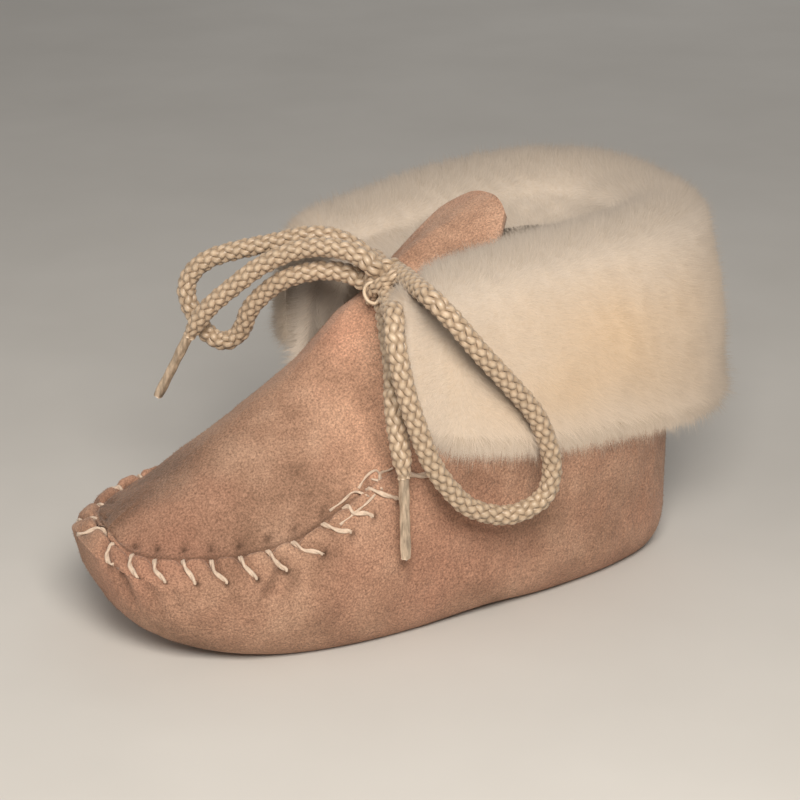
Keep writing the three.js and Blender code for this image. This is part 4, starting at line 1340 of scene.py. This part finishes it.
# The lining: the fleece side of the same hide, inside the foot, the collar and the tongue. The pile is
# pressed shorter and closer than on the cuff.
LINING_DEEP = 3.0
LINING_FIBRES, THROAT_FIBRES, TONGUE_FIBRES = 34000, 16000, 20000
THROAT_LEAN = np.array([1.1, 0, 0])
THROAT_FROM = 36
lined_columns = np.unique(np.linspace(1, len(places) - 3, 44).astype(int))
lined_in = -plain_out[::2, lined_columns]
lined = hide_out[::2, lined_columns] + LINING_DEEP * lined_in
lined = np.concatenate([lined, lined[:1]])
lined_in = np.concatenate([lined_in, lined_in[:1]])
lined_faces = grid_faces(*lined.shape[:2])[:, ::-1]
lined_tone = fleece_tone(np.zeros(lined.shape[:2]), lined_in)
lining = closed_up(put_mesh("fleece_lining_skin", lined, [lined_faces], core, tone=lined_tone))
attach(lining, "root")
at = scatter(lined, LINING_FIBRES, np.random.default_rng(80))
fibres("fleece_lining", at(lined), at(lined_in), fleece, length=2.4, width=0.14, seed=81)
# the pile that stands out forwards past the quarters' front edges, above the seam
quarter_edge = np.concatenate([hide_out[:, -3:], np.stack(rim, 1), hide_in[:, :9]], 1)
for name, first, last in (("left", 84.5, 92), ("right", 268, 275.5)):
    front_edge = quarter_edge[(turns > first) & (turns < last)]
    above = front_edge[:-1, :-1, 2] > THROAT_FROM
    at = scatter(front_edge, THROAT_FIBRES, np.random.default_rng(84), above)
    fibres(
        f"fleece_throat_{name}", at(front_edge), at(normals_of(front_edge)), fleece,
        length=4.4, width=0.12, seed=85, nap=THROAT_LEAN,
    )
# the back of the tongue: its pile and, under the fibres' ends, the skin that they close into
TONGUE_DEEP = 1.0
tongue_part = (slice(60, None), slice(4, -4))
tongue_back, tongue_in = plug_under[tongue_part], -plug_out[tongue_part]
tongue_lined = (tongue_back + TONGUE_DEEP * tongue_in)[::2, ::2]
tongue_tone = fleece_tone(np.zeros(tongue_lined.shape[:2]), tongue_in[::2, ::2])
tongue_faces = grid_faces(*tongue_lined.shape[:2])
tongue_skin = put_mesh("fleece_tongue_skin", tongue_lined, [tongue_faces], core, tone=tongue_tone)
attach(tongue_skin, "root")
at = scatter(tongue_back, TONGUE_FIBRES, np.random.default_rng(82))
fibres("fleece_tongue", at(tongue_back), at(tongue_in), fleece, length=2.8, width=0.12, seed=83)


# The nap: the fine short fibres that brushing raises on the suede of the wrap and the plug. They take the
# suede's own colour, and the sole's underside is left bare.
WRAP_NAP_FIBRES, PLUG_NAP_FIBRES = 40000, 24000
NAP_FROM = 2
nap_finish = Finish("suede_nap")
suede_nap = nap_finish.hair(suede_colour(nap_finish))
for name, grid, out, count in (
    ("wrap_nap", hide_out, plain_out, WRAP_NAP_FIBRES),
    ("plug_nap", plug_top, plug_out, PLUG_NAP_FIBRES),
):
    at = scatter(grid, count, np.random.default_rng(90), grid[:-1, :-1, 2] > NAP_FROM)
    fibres(
        name, at(grid), at(out), suede_nap,
        length=0.38, width=0.06, seed=91, clump=0.4, spread=0.7,
    )


# The camera: at the photograph's angle to the shoe, with a long lens and no shift.
AZIMUTH, ELEVATION = np.radians(62), np.radians(23)
DISTANCE = 430
FOCAL_PIXELS, FRAME_PIXELS = 2180, 800
SENSOR = 36.0
LOOK_AT = np.array([0, 0, 35.0])
PHOTO_MIDDLE = np.array([379, 412])
ahead = np.array([np.cos(AZIMUTH), np.sin(AZIMUTH), 0])
right = np.array([-np.sin(AZIMUTH), np.cos(AZIMUTH), 0])
back = ahead * np.cos(ELEVATION) + np.array([0, 0, np.sin(ELEVATION)])
up = np.cross(back, right)
aside = (FRAME_PIXELS / 2 - PHOTO_MIDDLE) * DISTANCE / FOCAL_PIXELS
eye = Vector(metres(LOOK_AT + back * DISTANCE))
aim = Vector(metres(LOOK_AT + right * aside[0] - up * aside[1]))
camera_data = bpy.data.cameras.new("photo_view")
camera_data.sensor_width = SENSOR
camera_data.lens = SENSOR * FOCAL_PIXELS / FRAME_PIXELS
camera_data.clip_start = 0.01
camera = bpy.data.objects.new("photo_view", camera_data)
camera.location = eye
camera.rotation_euler = (eye - aim).to_track_quat("Z", "Y").to_euler()
bpy.context.scene.collection.objects.link(camera)
bpy.context.scene.camera = camera


# The floor and the light: a plain pale floor, a small soft key lamp above the camera, a wider fill at the
# camera's left, a rear lamp high behind the shoe, and weak even light from all round.
floor_finish = Finish("floor")
FLOOR_DARK, FLOOR_LIGHT = (0.62, 0.60, 0.57), (0.66, 0.64, 0.61)
FLOOR_HALF, FLOOR_BELOW = 2500, 0.05
floor_tone = floor_finish.ramp(floor_finish.noise(60, 3), (0.3, FLOOR_DARK), (0.7, FLOOR_LIGHT))
pale = floor_finish.surface(Base__Color=floor_tone, Roughness=0.9, Specular__IOR__Level=0.1)
corners = np.array([(-1, -1, 0), (1, -1, 0), (1, 1, 0), (-1, 1, 0)]) * FLOOR_HALF
floor = put_mesh("floor", corners - (0, 0, FLOOR_BELOW), [np.array([[0, 1, 2, 3]])], pale)

world = bpy.data.worlds.new("studio")
world.use_nodes = True
sky = world.node_tree.nodes["Background"]
sky.inputs["Color"].default_value = (1.0, 0.98, 0.95, 1)
sky.inputs["Strength"].default_value = 0.13
bpy.context.scene.world = world


def put_lamp(name, place, aim, size, power, colour):
    """A square soft lamp that faces a point."""
    lamp = bpy.data.lights.new(name, "AREA")
    lamp.size = size
    lamp.energy = power
    lamp.color = colour
    made = bpy.data.objects.new(name, lamp)
    bpy.context.scene.collection.objects.link(made)
    back = Vector(place) - Vector(aim)
    made.location = place
    made.rotation_euler = back.to_track_quat("Z", "Y").to_euler()
    return made


# place from the point looked at: towards the camera, right, up the picture, and straight up; size in
# metres; power in watts; colour
LAMPS = {
    "key": ((400, 30, 130, 0), 0.18, 1.85, (1.0, 0.94, 0.86)),
    "fill": ((250, -520, 0, 250), 0.5, 0.9, (1.0, 0.95, 0.89)),
    "rear": ((-620, 160, 0, 620), 0.8, 0.9, (1.0, 0.98, 0.95)),
}
lamp_ways = np.stack([back, right, up, (0, 0, 1)])
for name, (place, size, power, colour) in LAMPS.items():
    put_lamp(name, metres(LOOK_AT + place @ lamp_ways), aim, size, power, colour)
bpy.context.scene.view_settings.view_transform = "Standard"
